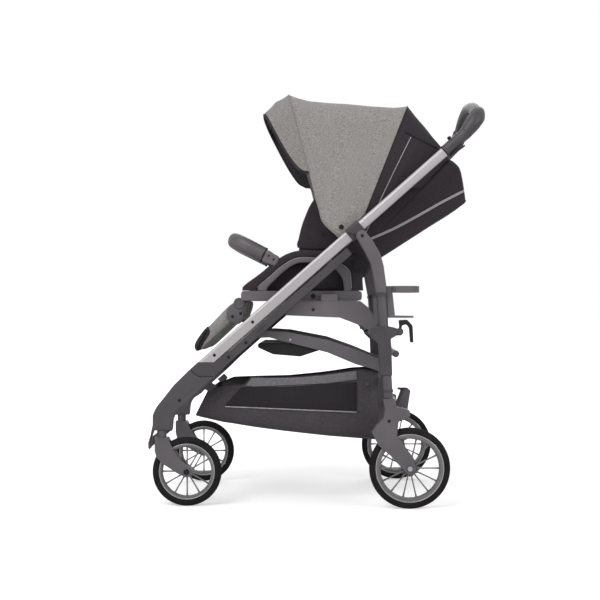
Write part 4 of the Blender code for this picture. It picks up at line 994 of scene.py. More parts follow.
@dataclass
class FrontFrame:
    """The silver rails, the dark sub rails below them, the swivel housings and the forks."""

    stroller: Stroller
    rail_screws: Outline = ((-270.9, 395.8), (-171.0, 482.6))
    sub_screws: Outline = ((-234.0, 390.6), (-189.0, 428.7))
    sub_seams: Outline = ((150.0, 186.0), (330.0, 352.0))
    housing_screw: Place = (-362.4, 277.5)

    def rails(self, side: Side) -> None:
        """Brushed rails with their screws."""
        self.stroller.dress(f"lower_rail_{side}", SILVER)
        for index, place in enumerate(self.rail_screws):
            name = f"rail_screw_{side}_{index}"
            self.stroller.fasten(name, place, side, RAIL_Y + 0.0135, SCREW, "front_frame")

    def sub_rails(self, side: Side) -> None:
        """Dark sub rails with screws and the seam where the foot piece is let in."""
        self.stroller.rounded(f"sub_rail_{side}", DARK, 0.0014)
        face = RAIL_Y + 0.0125
        for index, place in enumerate(self.sub_screws):
            self.stroller.fasten(f"sub_screw_{side}_{index}", place, side, face, SCREW, "front_frame")
        for index, (start, end) in enumerate(self.sub_seams):
            line = at_depth(on_rail((start, -29.0), (end, -29.0)), side.value * (face + 0.0001))
            seam = tube(f"sub_seam_{side}_{index}", even_line(line, 6), 0.0005, BLACK, 8)
            self.stroller.fit(seam, "front_frame")

    def housings(self, side: Side) -> None:
        """Swivel housings with their screw and the raised facet line."""
        node = f"front_housing_{side}"
        self.stroller.rounded(node, HOUSING, 0.0026, 4)
        face = outer_face(self.stroller.frame["nodes"][node])
        name = f"housing_screw_{side}"
        self.stroller.fasten(name, self.housing_screw, side, face, SCREW, "front_frame")
        ridge = smooth_line(side_view((-318, 314), (-340, 297), (-356.4, 283.5)), 12)
        ridge = at_depth(ridge, side.value * face)
        piece = tube(f"housing_ridge_{side}", ridge, 0.0009, HOUSING, 8, ends=0.006)
        self.stroller.fit(piece, "front_frame")

    def forks(self, side: Side) -> None:
        """Trailing forks under the housings."""
        self.stroller.rounded(f"front_fork_{side}", GREY, 0.0024, 4)
        self.stroller.dress(f"front_axle_{side}", BLACK)

    def build(self) -> None:
        """Make both sides and the strut between them."""
        for side in Side:
            self.rails(side)
            self.sub_rails(side)
            self.housings(side)
            self.forks(side)
        self.stroller.rounded("front_strut", BLACK, 0.0008)


@dataclass
class RearFrame:
    """The arches, legs, clamps, rear forks, brake, cup holder and fold lever."""

    stroller: Stroller
    fold_pivot: Place = (114.5, 706.0)
    leg_top: Place = (164.0, 555.0)
    leg_bottom: Place = (181.2, 287.0)
    knuckle_screw: Place = (183.4, 227.9)
    lever_knob: Place = (211.0, 458.0)

    def side_pieces(self, side: Side) -> None:
        """Arch, leg with its rings, clamp and fork of one side."""
        put = self.stroller
        put.rounded(f"rear_arch_{side}", GREY, 0.0034, 4)
        put.dress(f"rear_leg_{side}", LEG_PAINT)
        put.rounded(f"leg_clamp_{side}", DARK, 0.0022, 4)
        put.rounded(f"rear_fork_{side}", GREY, 0.0026, 4)
        put.dress(f"rear_axle_{side}", STEEL)
        leg = at_depth(side_view(self.leg_top, self.leg_bottom), side.value * LEG_Y)
        down = (leg[1] - leg[0]) / np.linalg.norm(leg[1] - leg[0])
        rings = (("top_ring", -0.004, 0.012, 0.0152), ("low_ring", 0.246, 0.010, 0.0149))
        for name, start, long, radius in rings:
            path = leg[0] + np.linspace(start, start + long, 9)[:, None] * down
            put.fit(tube(f"leg_{name}_{side}", path, radius, DARK, 40, ends=0.0016), "rear_frame")
        for name, place, node in (("fold_bolt", self.fold_pivot, "rear_arch"),
                                  ("knuckle_screw", self.knuckle_screw, "rear_fork")):
            face = outer_face(put.frame["nodes"][f"{node}_{side}"])
            put.fasten(f"{name}_{side}", place, side, face, SCREW, "rear_frame")

    def fittings(self) -> None:
        """Cross tube, brake, cup holder and fold lever."""
        put = self.stroller
        put.dress("rear_cross_tube", LEG_PAINT)
        put.rounded("brake_bar", DARK, 0.0016)
        put.rounded("brake_pedal", GREY, 0.0026, 4)
        put.rounded("cup_holder", SEAT_GREY, 0.0010)
        put.rounded("fold_lever", BLACK, 0.0018, 4)
        knob = ((10.0, -0.5), (10.0, 1.6), (9.2, 2.6), (7.4, 3.0), (6.8, 2.2), (3.0, 2.0), (0.5, 2.0))
        put.fasten("lever_knob", self.lever_knob, Side.LEFT, 0.2645, knob, "release", DARK, 32)
        points = np.array([v.co for v in put.frame["nodes"]["brake_pedal"].data.vertices])
        top, front, back = points[:, 2].max(), points[:, 0].min(), points[:, 0].max()
        for index, y in enumerate(np.linspace(-0.184, -0.116, 9)):
            rib = np.array([[front + 0.003, y, top - 0.0002], [back - 0.003, y, top - 0.0002]])
            put.fit(tube(f"pedal_rib_{index}", even_line(rib, 6), 0.0010, BLACK, 8, ends=0.002), "brake")

    def build(self) -> None:
        """Make both sides and the fittings."""
        for side in Side:
            self.side_pieces(side)
        self.fittings()


@dataclass
class Handle:
    """The telescoping tubes, collars, elbows, the wrapped grip and its levers."""

    stroller: Stroller
    sleeve_start: float = 832.0
    bend_start: float = 906.0
    corner: Place = (962.0, 10.0)
    rise: float = 0.052
    bend: float = 0.030
    wrap_start: float = 0.074
    sleeve_radius: float = 0.0155
    bar_radius: float = 0.0118
    grip_radius: float = 0.0165
    grip_half: float = 0.170
    lip: float = 0.0010
    lip_length: float = 0.007
    flare: float = 0.0050
    flare_start: float = 0.060
    flare_rise: float = 0.066
    flare_end: float = 0.170
    flare_fall: float = 0.016

    def crossbar(self, y: Array) -> Array:
        """Places on the crossbar's middle line, which rises from both elbows to the middle."""
        corner = on_rail(self.corner)[0]
        height = corner[1] + self.rise * (1 - (y / RAIL_Y) ** 2)
        return np.stack([np.full(len(y), corner[0]), y, height], axis=1)

    def bar_path(self) -> Array:
        """The middle line from one sleeve over the crossbar to the other sleeve."""
        start, before = on_rail((self.sleeve_start, 0.0), (self.bend_start, 0.0))
        low = np.array([start[0], -RAIL_Y, start[1]])
        mid = np.array([before[0], -RAIL_Y, before[1]])
        corner = self.crossbar(np.array([-RAIL_Y]))[0]
        over = self.crossbar(np.linspace(-self.grip_half, 0.0, 24))
        lead = (corner - mid) / np.linalg.norm(corner - mid)
        away = (over[0] - corner) / np.linalg.norm(over[0] - corner)
        t = np.linspace(0.0, 1.0, 14)[:, None]
        first, last = corner - lead * self.bend, corner + away * self.bend
        turn = first * (1 - t) ** 2 + corner * 2 * t * (1 - t) + last * t ** 2
        half = np.vstack([low, mid, turn, over])
        other = half[-2::-1] * np.array([1.0, -1.0, 1.0])
        return even_line(np.vstack([half, other]), 240)

    def bar(self) -> None:
        """Sleeves, widened elbows and bare bar as one swept skin, and a dark ring around each elbow."""
        path = self.bar_path()
        steps = travelled(path)
        near_end = np.minimum(steps, steps[-1] - steps)
        inside = eased((self.grip_half + 0.006 - np.abs(path[:, 1])) / 0.010)
        radius = self.sleeve_radius - (self.sleeve_radius - self.bar_radius) * inside
        radius += self.lip * (near_end < self.lip_length)
        rise = np.clip((near_end - self.flare_start) / self.flare_rise, 0.0, 1.0)
        fall = np.clip((self.flare_end - near_end) / self.flare_fall, 0.0, 1.0)
        radius += self.flare * eased(rise * fall)
        grid = carried(path, np.array([0.0, 0.3, 1.0]), radius, radius, 2.3, 28, ends=0.0012)
        self.stroller.fit(solid("handle_elbows", grid, DARK), "handle", "handle_bar")
        beside = path[:, 1] < -self.grip_half - 0.004
        elbow = path[(steps > self.wrap_start) & (steps < steps[-1] / 2) & beside]
        for side in Side:
            line = even_line(elbow[:max(3, len(elbow) // 14)] * np.array([1.0, -side.value, 1.0]), 8)
            piece = tube(f"elbow_ring_{side}", line, self.sleeve_radius + 0.0010, BLACK, 30,
                         across=(0.0, 0.3, 1.0), ends=0.001)
            self.stroller.fit(piece, "handle")

    def grip(self) -> None:
        """A wrapped grip: a soft round with a faint swell between its end rings, and two seams below."""
        y = np.linspace(-self.grip_half, self.grip_half, 90)
        path = self.crossbar(y)
        turn = y / self.grip_half * math.pi
        radius = self.grip_radius * (1.0 + 0.02 * np.cos(turn * 3) * np.cos(turn / 2))
        grid = carried(path, np.array([1.0, 0.0, 0.0]), radius, radius, 2.1, 32, ends=0.003)
        piece = solid("handle_grip_wrap", grid, GRIP_HIDE)
        self.stroller.fit(piece, "handle", "handle_grip")
        ahead = np.gradient(path, axis=0)
        ahead /= np.linalg.norm(ahead, axis=1, keepdims=True)
        for index, turn in enumerate((-0.74, -0.42)):
            down = np.array([math.sin(turn), 0.0, -math.cos(turn)])
            out = down + ahead * ahead[:, 2:] * math.cos(turn)
            out /= np.linalg.norm(out, axis=1, keepdims=True)
            line = path[4:-4] + out[4:-4] * (radius[4:-4, None] + 0.0001)
            self.stroller.fit(stitches(f"grip_stitch_{index}", line, CHARCOAL), "handle")
        for side in Side:
            rows = self.crossbar(side.value * np.linspace(self.grip_half - 0.001, self.grip_half + 0.006, 7))
            piece = tube(f"grip_ring_{side}", rows, self.grip_radius + 0.0006, BLACK, 32,
                         across=(1.0, 0.0, 0.0), ends=0.0012)
            self.stroller.fit(piece, "handle")

    def side_pieces(self, side: Side) -> None:
        """Tube, collar, lever and the small peg above the sleeve."""
        put = self.stroller
        put.dress(f"handle_tube_{side}", SILVER)
        put.rounded(f"collar_{side}", DARK, 0.0014)
        put.rounded(f"handle_lever_{side}", BLACK, 0.0010)
        y = side.value * RAIL_Y
        peg = even_line(at_depth(on_rail((866.0, 13.0), (868.0, 23.5)), y), 12)
        put.fit(tube(f"handle_peg_{side}", peg, 0.0052, BLACK, 20, ends=0.002), "handle")
        for index, u in enumerate((503.0, 508.0, 513.0)):
            line = at_depth(on_rail((u, 18.2), (u, -18.2)), y + side.value * 0.0169)
            rib = tube(f"collar_rib_{side}_{index}", even_line(line, 8), 0.0008, DARK, 8, ends=0.003)
            put.fit(rib, "handle")

    def build(self) -> None:
        """Make both sides, the elbows and the grip."""
        for side in Side:
            self.side_pieces(side)
        self.bar()
        self.grip()


@dataclass
class Linkage:
    """The lower links, the brace between them and the bars that carry the seat."""

    stroller: Stroller
    link_rivet: Place = (-73.6, 435.0)
    bar_rivets: Outline = ((-12.7, 515.0), (128.0, 460.0))

    def build(self) -> None:
        """Round the plates and put their rivets in."""
        put = self.stroller
        for side in Side:
            put.rounded(f"lower_link_{side}", GREY, 0.0014)
            put.rounded(f"seat_bar_{side}", SEAT_GREY, 0.0018)
            put.fasten(f"link_rivet_{side}", self.link_rivet, side, 0.1865, PIN, "links", STEEL, 20)
            for index, place in enumerate(self.bar_rivets):
                put.fasten(f"bar_rivet_{side}_{index}", place, side, 0.1960, SCREW, "seat_bars")
        put.rounded("x_brace", BLACK, 0.0040, 4)


@dataclass
class Seat:
    """The seat pan, its quilted cushion, the harness and the padded side hoops."""

    stroller: Stroller
    front: float = -196.0
    back: float = 84.0
    half_width: float = 0.134
    low: float = 565.3
    height: float = 0.030
    hoop_inner: float = 0.1522
    hoop_outer: float = 0.1755
    hoop_share: float = 0.60
    liner_depth: float = 0.1488
    hoop_outline: Outline = (
        (-203, 566), (-197, 580), (-154, 612), (-106, 651), (-62, 671), (-10, 673), (45, 665),
        (92, 652), (117, 640), (121, 622), (119, 600), (121, 566))
    ratchet: Place = (-212.0, 532.0)
    recline_knob: Place = (105.0, 633.0)
    recline_plate: Outline = ((92, 647), (119, 645), (122, 625), (108, 613), (94, 624))
    pan_screw: Place = (-12.7, 551.0)
    hoop_opening: Outline = (
        (-136, 566), (-131, 577), (-110, 598), (-86, 620), (-65, 634), (-47, 640), (-15, 640),
        (18, 637), (40, 628), (56, 612), (66, 594), (70, 566))

    def cushion(self) -> None:
        """A foam pad cut as a rounded rectangle, with three shallow sewn channels and a piped edge."""
        rows, columns = 61, 51
        u = np.linspace(-1.0, 1.0, rows)[:, None]
        v = np.linspace(-1.0, 1.0, columns)[None, :]
        middle = side_view(((self.front + self.back) / 2, self.low))[0]
        half_long = (self.back - self.front) / 2 * MM
        edge = (1 - np.abs(u) ** 5) ** 0.42 * (1 - np.abs(v) ** 5) ** 0.42
        pull = 1 - 0.022 * (1 - v ** 2) * np.abs(u) ** 6
        side_pull = 1 - 0.018 * (1 - u ** 2) * np.abs(v) ** 6
        channels = sum(np.exp(-((v - at) / 0.035) ** 2) for at in (-0.5, 0.0, 0.5))
        top = 0.006 + (self.height - 0.006) * edge - 0.0035 * channels * edge
        x = middle[0] + half_long * u * pull
        y = self.half_width * v * side_pull
        upper = np.stack([x, y, middle[1] + top], axis=-1)
        lower = np.stack([x, y, middle[1] + 0.0002 + 0.002 * (1 - edge)], axis=-1)
        piece = closed_pad(upper, lower).build("seat_cushion_pad", MELANGE, sharp=80)
        swell_pad(piece)
        self.stroller.fit(piece, "seat", "seat_cushion", slot="melange_fabric")
        rim = smooth_line((border(upper) * 0.5 + border(lower) * 0.5)[::6], 200, closed=True)
        rim = np.vstack([rim, rim[:1]])
        piping = tube("seat_cushion_piping", rim, 0.0016, CHARCOAL, 8, across=(0.0, 0.0, 1.0))
        self.stroller.fit(piping, "seat")

    def harness(self) -> None:
        """Crotch strap, lap straps and the buckle between them."""
        put = self.stroller
        crotch = at_depth(smooth_line(side_view((-70, 594), (-66, 606), (-50, 618), (-26, 622)), 24), 0.0)
        put.fit(strap("crotch_strap", crotch, ACROSS, 0.025, 0.0018, STRAP), "seat")
        buckle_line = at_depth(even_line(side_view((-30, 621), (18, 617)), 14), 0.0)
        width = 0.021 * np.sin(np.linspace(0.35, math.pi - 0.55, 14)) ** 0.5
        grid = carried(buckle_line, ACROSS, width, 0.0075, 3.0, 28, ends=0.006)
        put.fit(solid("harness_buckle", grid, BLACK), "seat")
        upright = np.array([0.35, 0.0, 1.0])
        for side in Side:
            lap = np.array([[0.004, 0.018, 0.620], [0.020, 0.045, 0.612], [0.050, 0.085, 0.600],
                            [0.078, 0.118, 0.603], [0.086, 0.124, 0.622]])
            lap = smooth_line(lap * np.array([1.0, side.value, 1.0]), 30)
            put.fit(strap(f"lap_strap_{side}", lap, upright, 0.022, 0.0018, STRAP), "seat")

    def hoop_grid(self, outer: Array, inner: Array, side: Side, power: float, trim: float,
                  spread: float) -> Array:
        """A rounded section carried along the hoop, between two of its outlines.

        Args:
            outer: The outline on its outside.
            inner: The outline towards the opening.
            side: The side it stands on.
            power: How square the section is.
            trim: How much thinner it is than the hoop, at each face.
            spread: How far it reaches past both outlines.

        Returns:
            A grid of points, one ring of the section for each place along the hoop.
        """
        c, s = ring(power, 28)
        depth = (self.hoop_inner + self.hoop_outer) / 2
        half = (self.hoop_outer - self.hoop_inner) / 2 - trim
        middle, reach = (outer + inner) / 2, (outer - inner) / 2 + spread
        flat = middle[:, None, :] + reach[:, None, :] * c[None, :, None]
        across = np.broadcast_to(side.value * depth + half * s, flat.shape[:2])
        return np.stack([flat[..., 0], across, flat[..., 1]], axis=-1)

    def hoops(self, side: Side) -> None:
        """Padded hoops: dark cloth outside, a grey rim around the opening and, between them, a light cord
        that is a painted highlight along the rim's edge.
        """
        put = self.stroller
        outer = smooth_line(side_view(*self.hoop_outline), 130)
        inner = smooth_line(side_view(*self.hoop_opening), 130)
        seam = outer * (1 - self.hoop_share) + inner * self.hoop_share
        piece = solid(f"hoop_cover_{side}", self.hoop_grid(outer, seam, side, 3.0, 0.0, 0.0), CHARCOAL)
        put.fit(piece, "seat", f"armrest_hoop_{side}", slot="dark_fabric")
        rim = self.hoop_grid(seam, inner, side, 5.0, 0.0012, 0.0008)
        put.fit(solid(f"hoop_rim_{side}", rim, SEAT_GREY), "seat")
        # Painted highlight: a thin light cord along the edge of the grey rim stands in for the light caught
        # on that edge.
        cord = at_depth(seam, side.value * (self.hoop_outer - 0.0016))[3:-3]
        put.fit(tube(f"hoop_seam_{side}", cord, 0.0009, PIPING, 8), "seat")
        self.liner(side, inner)

    def liner(self, side: Side, opening: Array) -> None:
        """The dark cloth of the seat's side, hanging inside the hoop."""
        foot = np.stack([opening[:, 0], np.full(len(opening), opening[0, 1])], axis=1)
        spread = np.array([1.06, 1.03])
        centre = np.array([opening[:, 0].mean(), opening[0, 1]])
        rows = [(foot + (opening - foot) * t - centre) * spread + centre for t in np.linspace(0.0, 1.0, 9)]
        grid = np.array([at_depth(row, side.value * self.liner_depth) for row in rows])
        name, rests = f"seat_liner_{side}", [f"hoop_cover_{side}"]
        self.stroller.fit(cloth_sheet(name, grid, CHARCOAL, 0.0008, 0.0), "seat")

    def sockets(self, side: Side) -> None:
        """Grey sockets that hold the bumper bar, with two screws each."""
        put = self.stroller
        face = np.array([-0.1410 + ORIGIN_SHIFT, 0.6590])
        angle = math.radians(153)
        forward = np.array([math.cos(angle), math.sin(angle)])
        across = np.array([forward[1], -forward[0]])
        corners = ((0.0015, 0.0145), (-0.020, 0.0150), (-0.036, 0.0120), (-0.036, -0.0110),
                   (-0.020, -0.0150), (0.0015, -0.0145))
        outline = np.array([face + forward * a + across * b for a, b in corners])
        outline = smooth_line(outline, 48, closed=True)
        outside = self.hoop_outer + 0.0022
        faces = (side.value * (self.hoop_inner - 0.0006), side.value * outside)
        put.fit(slab(f"bumper_socket_{side}", outline, faces, 0.003, SEAT_GREY), "seat")
        for index, (a, b) in enumerate(((-0.009, 0.004), (-0.025, 0.001))):
            name, place = f"socket_screw_{side}_{index}", face + forward * a + across * b
            put.fit(disc_stack(name, place, side, outside, PIN, BLACK, 20), "seat")

    def pan(self) -> None:
        """The seat pan, with the legrest's ratchet discs and the recline knobs on its sides."""
        put = self.stroller
        put.rounded("seat_base", SEAT_GREY, 0.0030, 4)
        disc = ((15.0, -1.0), (15.0, 2.0), (14.0, 3.2), (11.5, 3.6), (11.0, 2.6), (6.0, 2.4), (5.6, 3.4),
                (0.5, 3.6))
        knob = ((13.0, -0.6), (13.0, 4.2), (11.8, 5.6), (8.0, 6.0), (7.4, 5.0), (0.5, 5.0))
        plate = smooth_line(side_view(*self.recline_plate), 60, closed=True)
        for side in Side:
            outside = self.hoop_outer
            put.fasten(f"legrest_ratchet_{side}", self.ratchet, side, 0.1490, disc, "seat", GREY, 32)
            put.fasten(f"recline_knob_{side}", self.recline_knob, side, outside, knob, "seat", BLACK, 32)
            faces = (side.value * (outside - 0.001), side.value * (outside + 0.0030))
            put.fit(slab(f"recline_plate_{side}", plate, faces, 0.0014, BLACK), "seat")
            put.fasten(f"pan_screw_{side}", self.pan_screw, side, 0.1755, STUD, "seat")

    def build(self) -> None:
        """Make the pan, cushion, harness, hoops and sockets."""
        self.pan()
        self.cushion()
        self.harness()
        for side in Side:
            self.hoops(side)
            self.sockets(side)


@dataclass
class Backrest:
    """The dark rear shell, its side wings, the quilted pad and the shoulder straps."""

    stroller: Stroller
    half_width: float = 0.1500
    shell: Outline = (
        (96, 612), (89, 628), (87, 640), (98, 664), (178, 744), (258, 826), (338, 911), (355, 917),
        (370, 907), (381, 893), (388, 864), (392, 838), (395, 815), (392, 801), (331, 762),
        (278, 728), (222, 692), (166, 655), (140, 625), (126, 606), (110, 603))
    wing: Outline = (
        (-54, 682), (-48, 717), (-35, 760), (-8, 812), (48, 852), (110, 879), (185, 886), (262, 886),
        (302, 868), (216, 778), (150, 706), (104, 664), (60, 680), (2, 676))
    pad_foot: Place = (102.0, 668.0)
    pad_head: Place = (330.0, 903.6)
    pad_half: float = 0.135
    pad_thick: float = 0.021

    def cover(self) -> None:
        """The rear shell: its side outline carried across, with soft edges and a slight swell."""
        put = self.stroller
        outline = smooth_line(side_view(*self.shell), 150, closed=True)
        grid = slab_grid(outline, -self.half_width, self.half_width, 0.010, 8, 0.002)
        piece = solid("backrest_cover", grid, CHARCOAL, sharp=60)
        put.fit(piece, "back", "backrest_shell", slot="dark_fabric")
        wing = smooth_line(side_view(*self.wing), 120, closed=True)
        edge = smooth_line(side_view(*self.wing[:8]), 80)
        for side in Side:
            y = side.value
            row = grid[8 if side is Side.LEFT else -9]
            put.fit(tube(f"backrest_piping_{side}", np.vstack([row, row[:1]]), 0.0013, CHARCOAL, 8), "back")
            faces = (y * 0.1385, y * (self.half_width - 0.0004))
            piece = slab(f"backrest_wing_{side}", wing, faces, 0.0045, CHARCOAL, sharp=60)
            put.fit(piece, "back", slot="dark_fabric")
            put.fit(tube(f"wing_piping_{side}", at_depth(edge, y * 0.1443), 0.0018, CHARCOAL, 8), "back")

    def webbing(self, side: Side) -> None:
        """Striped webbing along the side of the shell, lying a little proud of it."""
        line = smooth_line(side_view((392, 834), (330, 802), (270, 768), (205, 733), (142, 705)), 60)
        path = at_depth(line, side.value * (self.half_width + 0.0010))
        across = np.array([-0.5, 0.0, 0.86])
        piece = strap(f"side_webbing_{side}", path, across, 0.0070, 0.0022, SIDE_TAPE)
        self.stroller.fit(piece, "back")
        self.stroller.fasten(f"wing_stud_{side}", (14.4, 718.0), side, 0.1494, STUD, "back")

    def pad(self) -> None:
        """The front pad: a soft slab along the shell with sewn channels across it."""
        foot, head = side_view(self.pad_foot, self.pad_head)
        length = np.linalg.norm(head - foot)
        up = (head - foot) / length
        out = np.array([-up[1], up[0]])
        rows, columns = 71, 51
        u = np.linspace(-1.0, 1.0, rows)[:, None]
        v = np.linspace(-1.0, 1.0, columns)[None, :]
        edge = (1 - np.abs(u) ** 6) ** 0.4 * (1 - np.abs(v) ** 6) ** 0.4
        channels = sum(np.exp(-((u - at) / 0.028) ** 2) for at in (-0.55, -0.1, 0.35))
        along = (u + 1) / 2 * length * (1 - 0.01 * (1 - v ** 2))
        y = self.pad_half * v * (1 - 0.02 * (1 - u ** 2) * np.abs(v) ** 6)
        top = 0.0012 + 0.004 + (self.pad_thick - 0.004) * edge - 0.003 * channels * edge
        bottom = 0.0012 + 0.002 * (1 - edge)
        upper, lower = (np.stack([foot[0] + up[0] * along + out[0] * height, y,
                                  foot[1] + up[1] * along + out[1] * height], axis=-1)
                        for height in (top, bottom))
        piece = closed_pad(upper, lower).build("backrest_quilt", MELANGE, sharp=80)
        swell_pad(piece)
        self.stroller.fit(piece, "back", "backrest_pad", slot="melange_fabric")
        for side in Side:
            self.shoulder(side, foot, up, out)

    def shoulder(self, side: Side, foot: Array, up: Array, out: Array) -> None:
        """A shoulder strap with its pad, lying on the front of the backrest.

        Args:
            side: The side it lies on.
            foot: The lower end of the backrest's pad.
            up: Direction up along the pad.
            out: Direction out of the pad.
        """
        start = foot + up * 0.238 + out * 0.0215
        middle = foot + up * 0.120 + out * 0.0245
        low = foot + up * 0.022 + out * 0.0300
        line = smooth_line(np.array([start - out * 0.004 + up * 0.012, start, middle, low]), 40)
        path = at_depth(line, side.value * np.linspace(0.050, 0.036, 40))
        self.stroller.fit(strap(f"shoulder_strap_{side}", path, ACROSS, 0.022, 0.0018, STRAP), "back")
        cover = at_depth(line[4:24] + out * 0.0022, side.value * np.linspace(0.0495, 0.0425, 20))
        grid = carried(cover, ACROSS, 0.0170, 0.0045, 3.0, 24, ends=0.006)
        piece = solid(f"shoulder_pad_{side}", grid, CHARCOAL)
        self.stroller.fit(piece, "back")

    def build(self) -> None:
        """Make the cover, webbing and pad."""
        self.cover()
        for side in Side:
            self.webbing(side)
        self.pad()


@dataclass(frozen=True)
class Rib:
    """One U-shaped line of the canopy, from foot to head on each side and over the top.

    The legs may swell forwards by the hump, which sits lower on the leg when the lean is under one.
    """

    foot: Place
    head: Place
    half_width: float = 0.190
    crown: float = 0.014
    shoulder: float = 0.055
    hump: float = 0.0
    lean: float = 1.0

    def numbers(self) -> Array:
        """The rib as one row: foot, head, half width, crown, shoulder, hump and its lean, in metres."""
        foot, head = side_view(self.foot, self.head)
        return np.array([*foot, *head, self.half_width, self.crown, self.shoulder, self.hump, self.lean])


@dataclass
class Canopy:
    """The hood: a folding shell on a bow, the visor in front of it and the fixed dark rear panel."""

    stroller: Stroller
    columns: int = 121
    shell_ribs: tuple[Rib, ...] = (
        Rib((-8, 815), (-77, 1093)), Rib((3, 780), (-40, 1081)), Rib((10, 752), (-16, 1076)),
        Rib((20, 738), (79, 1069)), Rib((60, 702), (203, 1059)), Rib((126, 772), (241, 1063)))
    visor_ribs: tuple[Rib, ...] = (
        Rib((-24, 883), (-143, 1045), crown=0.008, hump=0.018, lean=0.5),
        Rib((-22, 881), (-114, 1074), crown=0.011, hump=0.007, lean=0.5), Rib((-20, 870), (-79, 1094)))
    lining_ribs: tuple[Rib, ...] = (
        Rib((-25, 877), (-146, 1041), 0.1886, 0.007, hump=0.019, lean=0.5),
        Rib((-22, 875), (-116, 1071), 0.1882, 0.009, hump=0.008, lean=0.5),
        Rib((-20, 866), (-79, 1090), 0.1880, 0.012))
    rear_ribs: tuple[Rib, ...] = (
        Rib((126.5, 771.8), (241.5, 1062.5)), Rib((176, 800), (291, 1003), crown=0.010),
        Rib((236, 838), (328, 957), 0.180, 0.004, 0.040), Rib((272, 840), (350, 922), 0.156, 0.0, 0.006))

    def sheet_grid(self, ribs: tuple[Rib, ...], rows: int, sag: float, folds: float) -> Array:
        """A curved sheet through the ribs.

        Between ribs every number of the rib is read along a broken line, so the cloth stays taut at
        each rib. Each row is a leg, a quarter-round shoulder, a crowned top and the same mirrored. The
        cloth then sinks towards the inside by the sag halfway between ribs, and by small folds that
        fan out from the feet and fade towards the top.

        Args:
            ribs: The ribs in order.
            rows: How many rows of points.
            sag: Deepest sink halfway between two ribs.
            folds: Height of the folds near the feet.

        Returns:
            Rows by columns by three.
        """
        table = np.array([rib.numbers() for rib in ribs])
        v = np.linspace(0.0, len(ribs) - 1.0, rows)
        numbers = np.stack([np.interp(v, np.arange(len(ribs)), table[:, k]) for k in range(9)], axis=1)
        grid = []
        for foot_x, foot_z, head_x, head_z, width, crown, shoulder, hump, lean in numbers:
            length = math.hypot(head_x - foot_x, head_z - foot_z)
            turn = np.linspace(0.0, math.pi / 2, 12)
            top = np.linspace(-width + shoulder, 0.0, 24)
            leg = np.stack([np.full(20, -width), np.linspace(0.0, length - shoulder, 20)], axis=1)
            corner = np.stack([-width + shoulder * (1 - np.cos(turn)),
                               length - shoulder * (1 - np.sin(turn))], axis=1)
            over = np.stack([top, length + crown * (1 - (top / (width - shoulder)) ** 2)], axis=1)
            half = np.vstack([leg, corner[1:], over[1:]])
            whole = np.vstack([half, half[-2::-1] * np.array([-1.0, 1.0])])
            line = even_line(whole, self.columns)
            up = np.array([head_x - foot_x, head_z - foot_z]) / length
            bow = hump * np.sin(math.pi * np.clip(line[:, 1] / length, 0.0, 1.0) ** lean)
            grid.append(np.stack([foot_x + up[0] * line[:, 1] - up[1] * bow, line[:, 0],
                                  foot_z + up[1] * line[:, 1] + up[0] * bow], axis=1))
        grid = np.array(grid)
        along = np.gradient(grid, axis=0)
        across = np.gradient(grid, axis=1)
        normal = np.cross(across, along)
        normal /= np.maximum(np.linalg.norm(normal, axis=-1, keepdims=True), 1e-12)
        centre = grid.mean(axis=(0, 1)) - np.array([0.0, 0.0, 0.12])
        facing = np.sign(np.sum(normal * (grid - centre), axis=-1, keepdims=True))
        normal = normal * np.where(facing == 0, 1.0, facing)
        between = np.sin(math.pi * np.clip(v - np.floor(v), 0.0, 1.0)) ** 2
        u = np.linspace(-1.0, 1.0, self.columns)[None, :]
        near_foot = np.clip((np.abs(u) - 0.45) / 0.55, 0.0, 1.0) ** 1.5
        phase = v[:, None] * 9.0 + 2.2 * np.sin(3.1 * u + v[:, None])
        crease = folds * near_foot * np.sin(phase) + 0.25 * folds * np.sin(phase * 0.37 + 5.0 * u)
        inward = sag * between[:, None] * (0.35 + 0.65 * np.sqrt(np.clip(1 - u ** 2, 0, 1)))
        return grid + normal * (crease - inward)[..., None]

    def seam(self, name: str, line: Array, finish: Finish, radius: float) -> Piece:
        """A corded seam along a row of a sheet."""
        return tube(name, line, radius, finish, 8, across=(0.3, 0.1, 1.0))

    def folding_shell(self) -> None:
        """The melange shell that gathers between the bow and the rear panel."""
        put = self.stroller
        grid = self.sheet_grid(self.shell_ribs, 71, 0.0007, 0.0003)
        shell = cloth_sheet("canopy_cloth", grid, MELANGE, 0.0016)
        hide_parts("canopy_shell")
        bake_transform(shell)
        put.dressed.add("canopy_shell")
        LOG.info("%s across back and canopy_front, %d faces", shell.name, len(shell.data.polygons))
        for name, edge in (("canopy_hem", grid[:, 0]), ("canopy_hem_far", grid[:, -1])):
            hem = self.seam(name, edge, MELANGE_SEAM, 0.0016)
            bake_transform(hem)
        for side in Side:
            put.fasten(f"canopy_stud_{side}", (61.8, 734.0), side, 0.1912, STUD, "back")

    def visor(self) -> None:
        """The peak in front of the bow, with its dark lining hem along the free edge."""
        put = self.stroller
        grid = self.sheet_grid(self.visor_ribs, 31, 0.001, 0.0003)
        piece = cloth_sheet("visor_cloth", grid, VISOR, 0.0012)
        put.fit(piece, "canopy_front", "canopy_visor", slot="melange_fabric")
        put.fit(self.seam("visor_seam", grid[-1], MELANGE_SEAM, 0.0013), "canopy_front")
        lining = self.sheet_grid(self.lining_ribs, 31, 0.001, 0.0003)
        inner = cloth_sheet("visor_lining", lining[:27], LINING, 0.0008)
        put.fit(inner, "canopy_front")
        edge = smooth_line(lining[0][::4], 150)
        put.fit(self.seam("visor_wire", edge, CHARCOAL, 0.0022), "canopy_front")

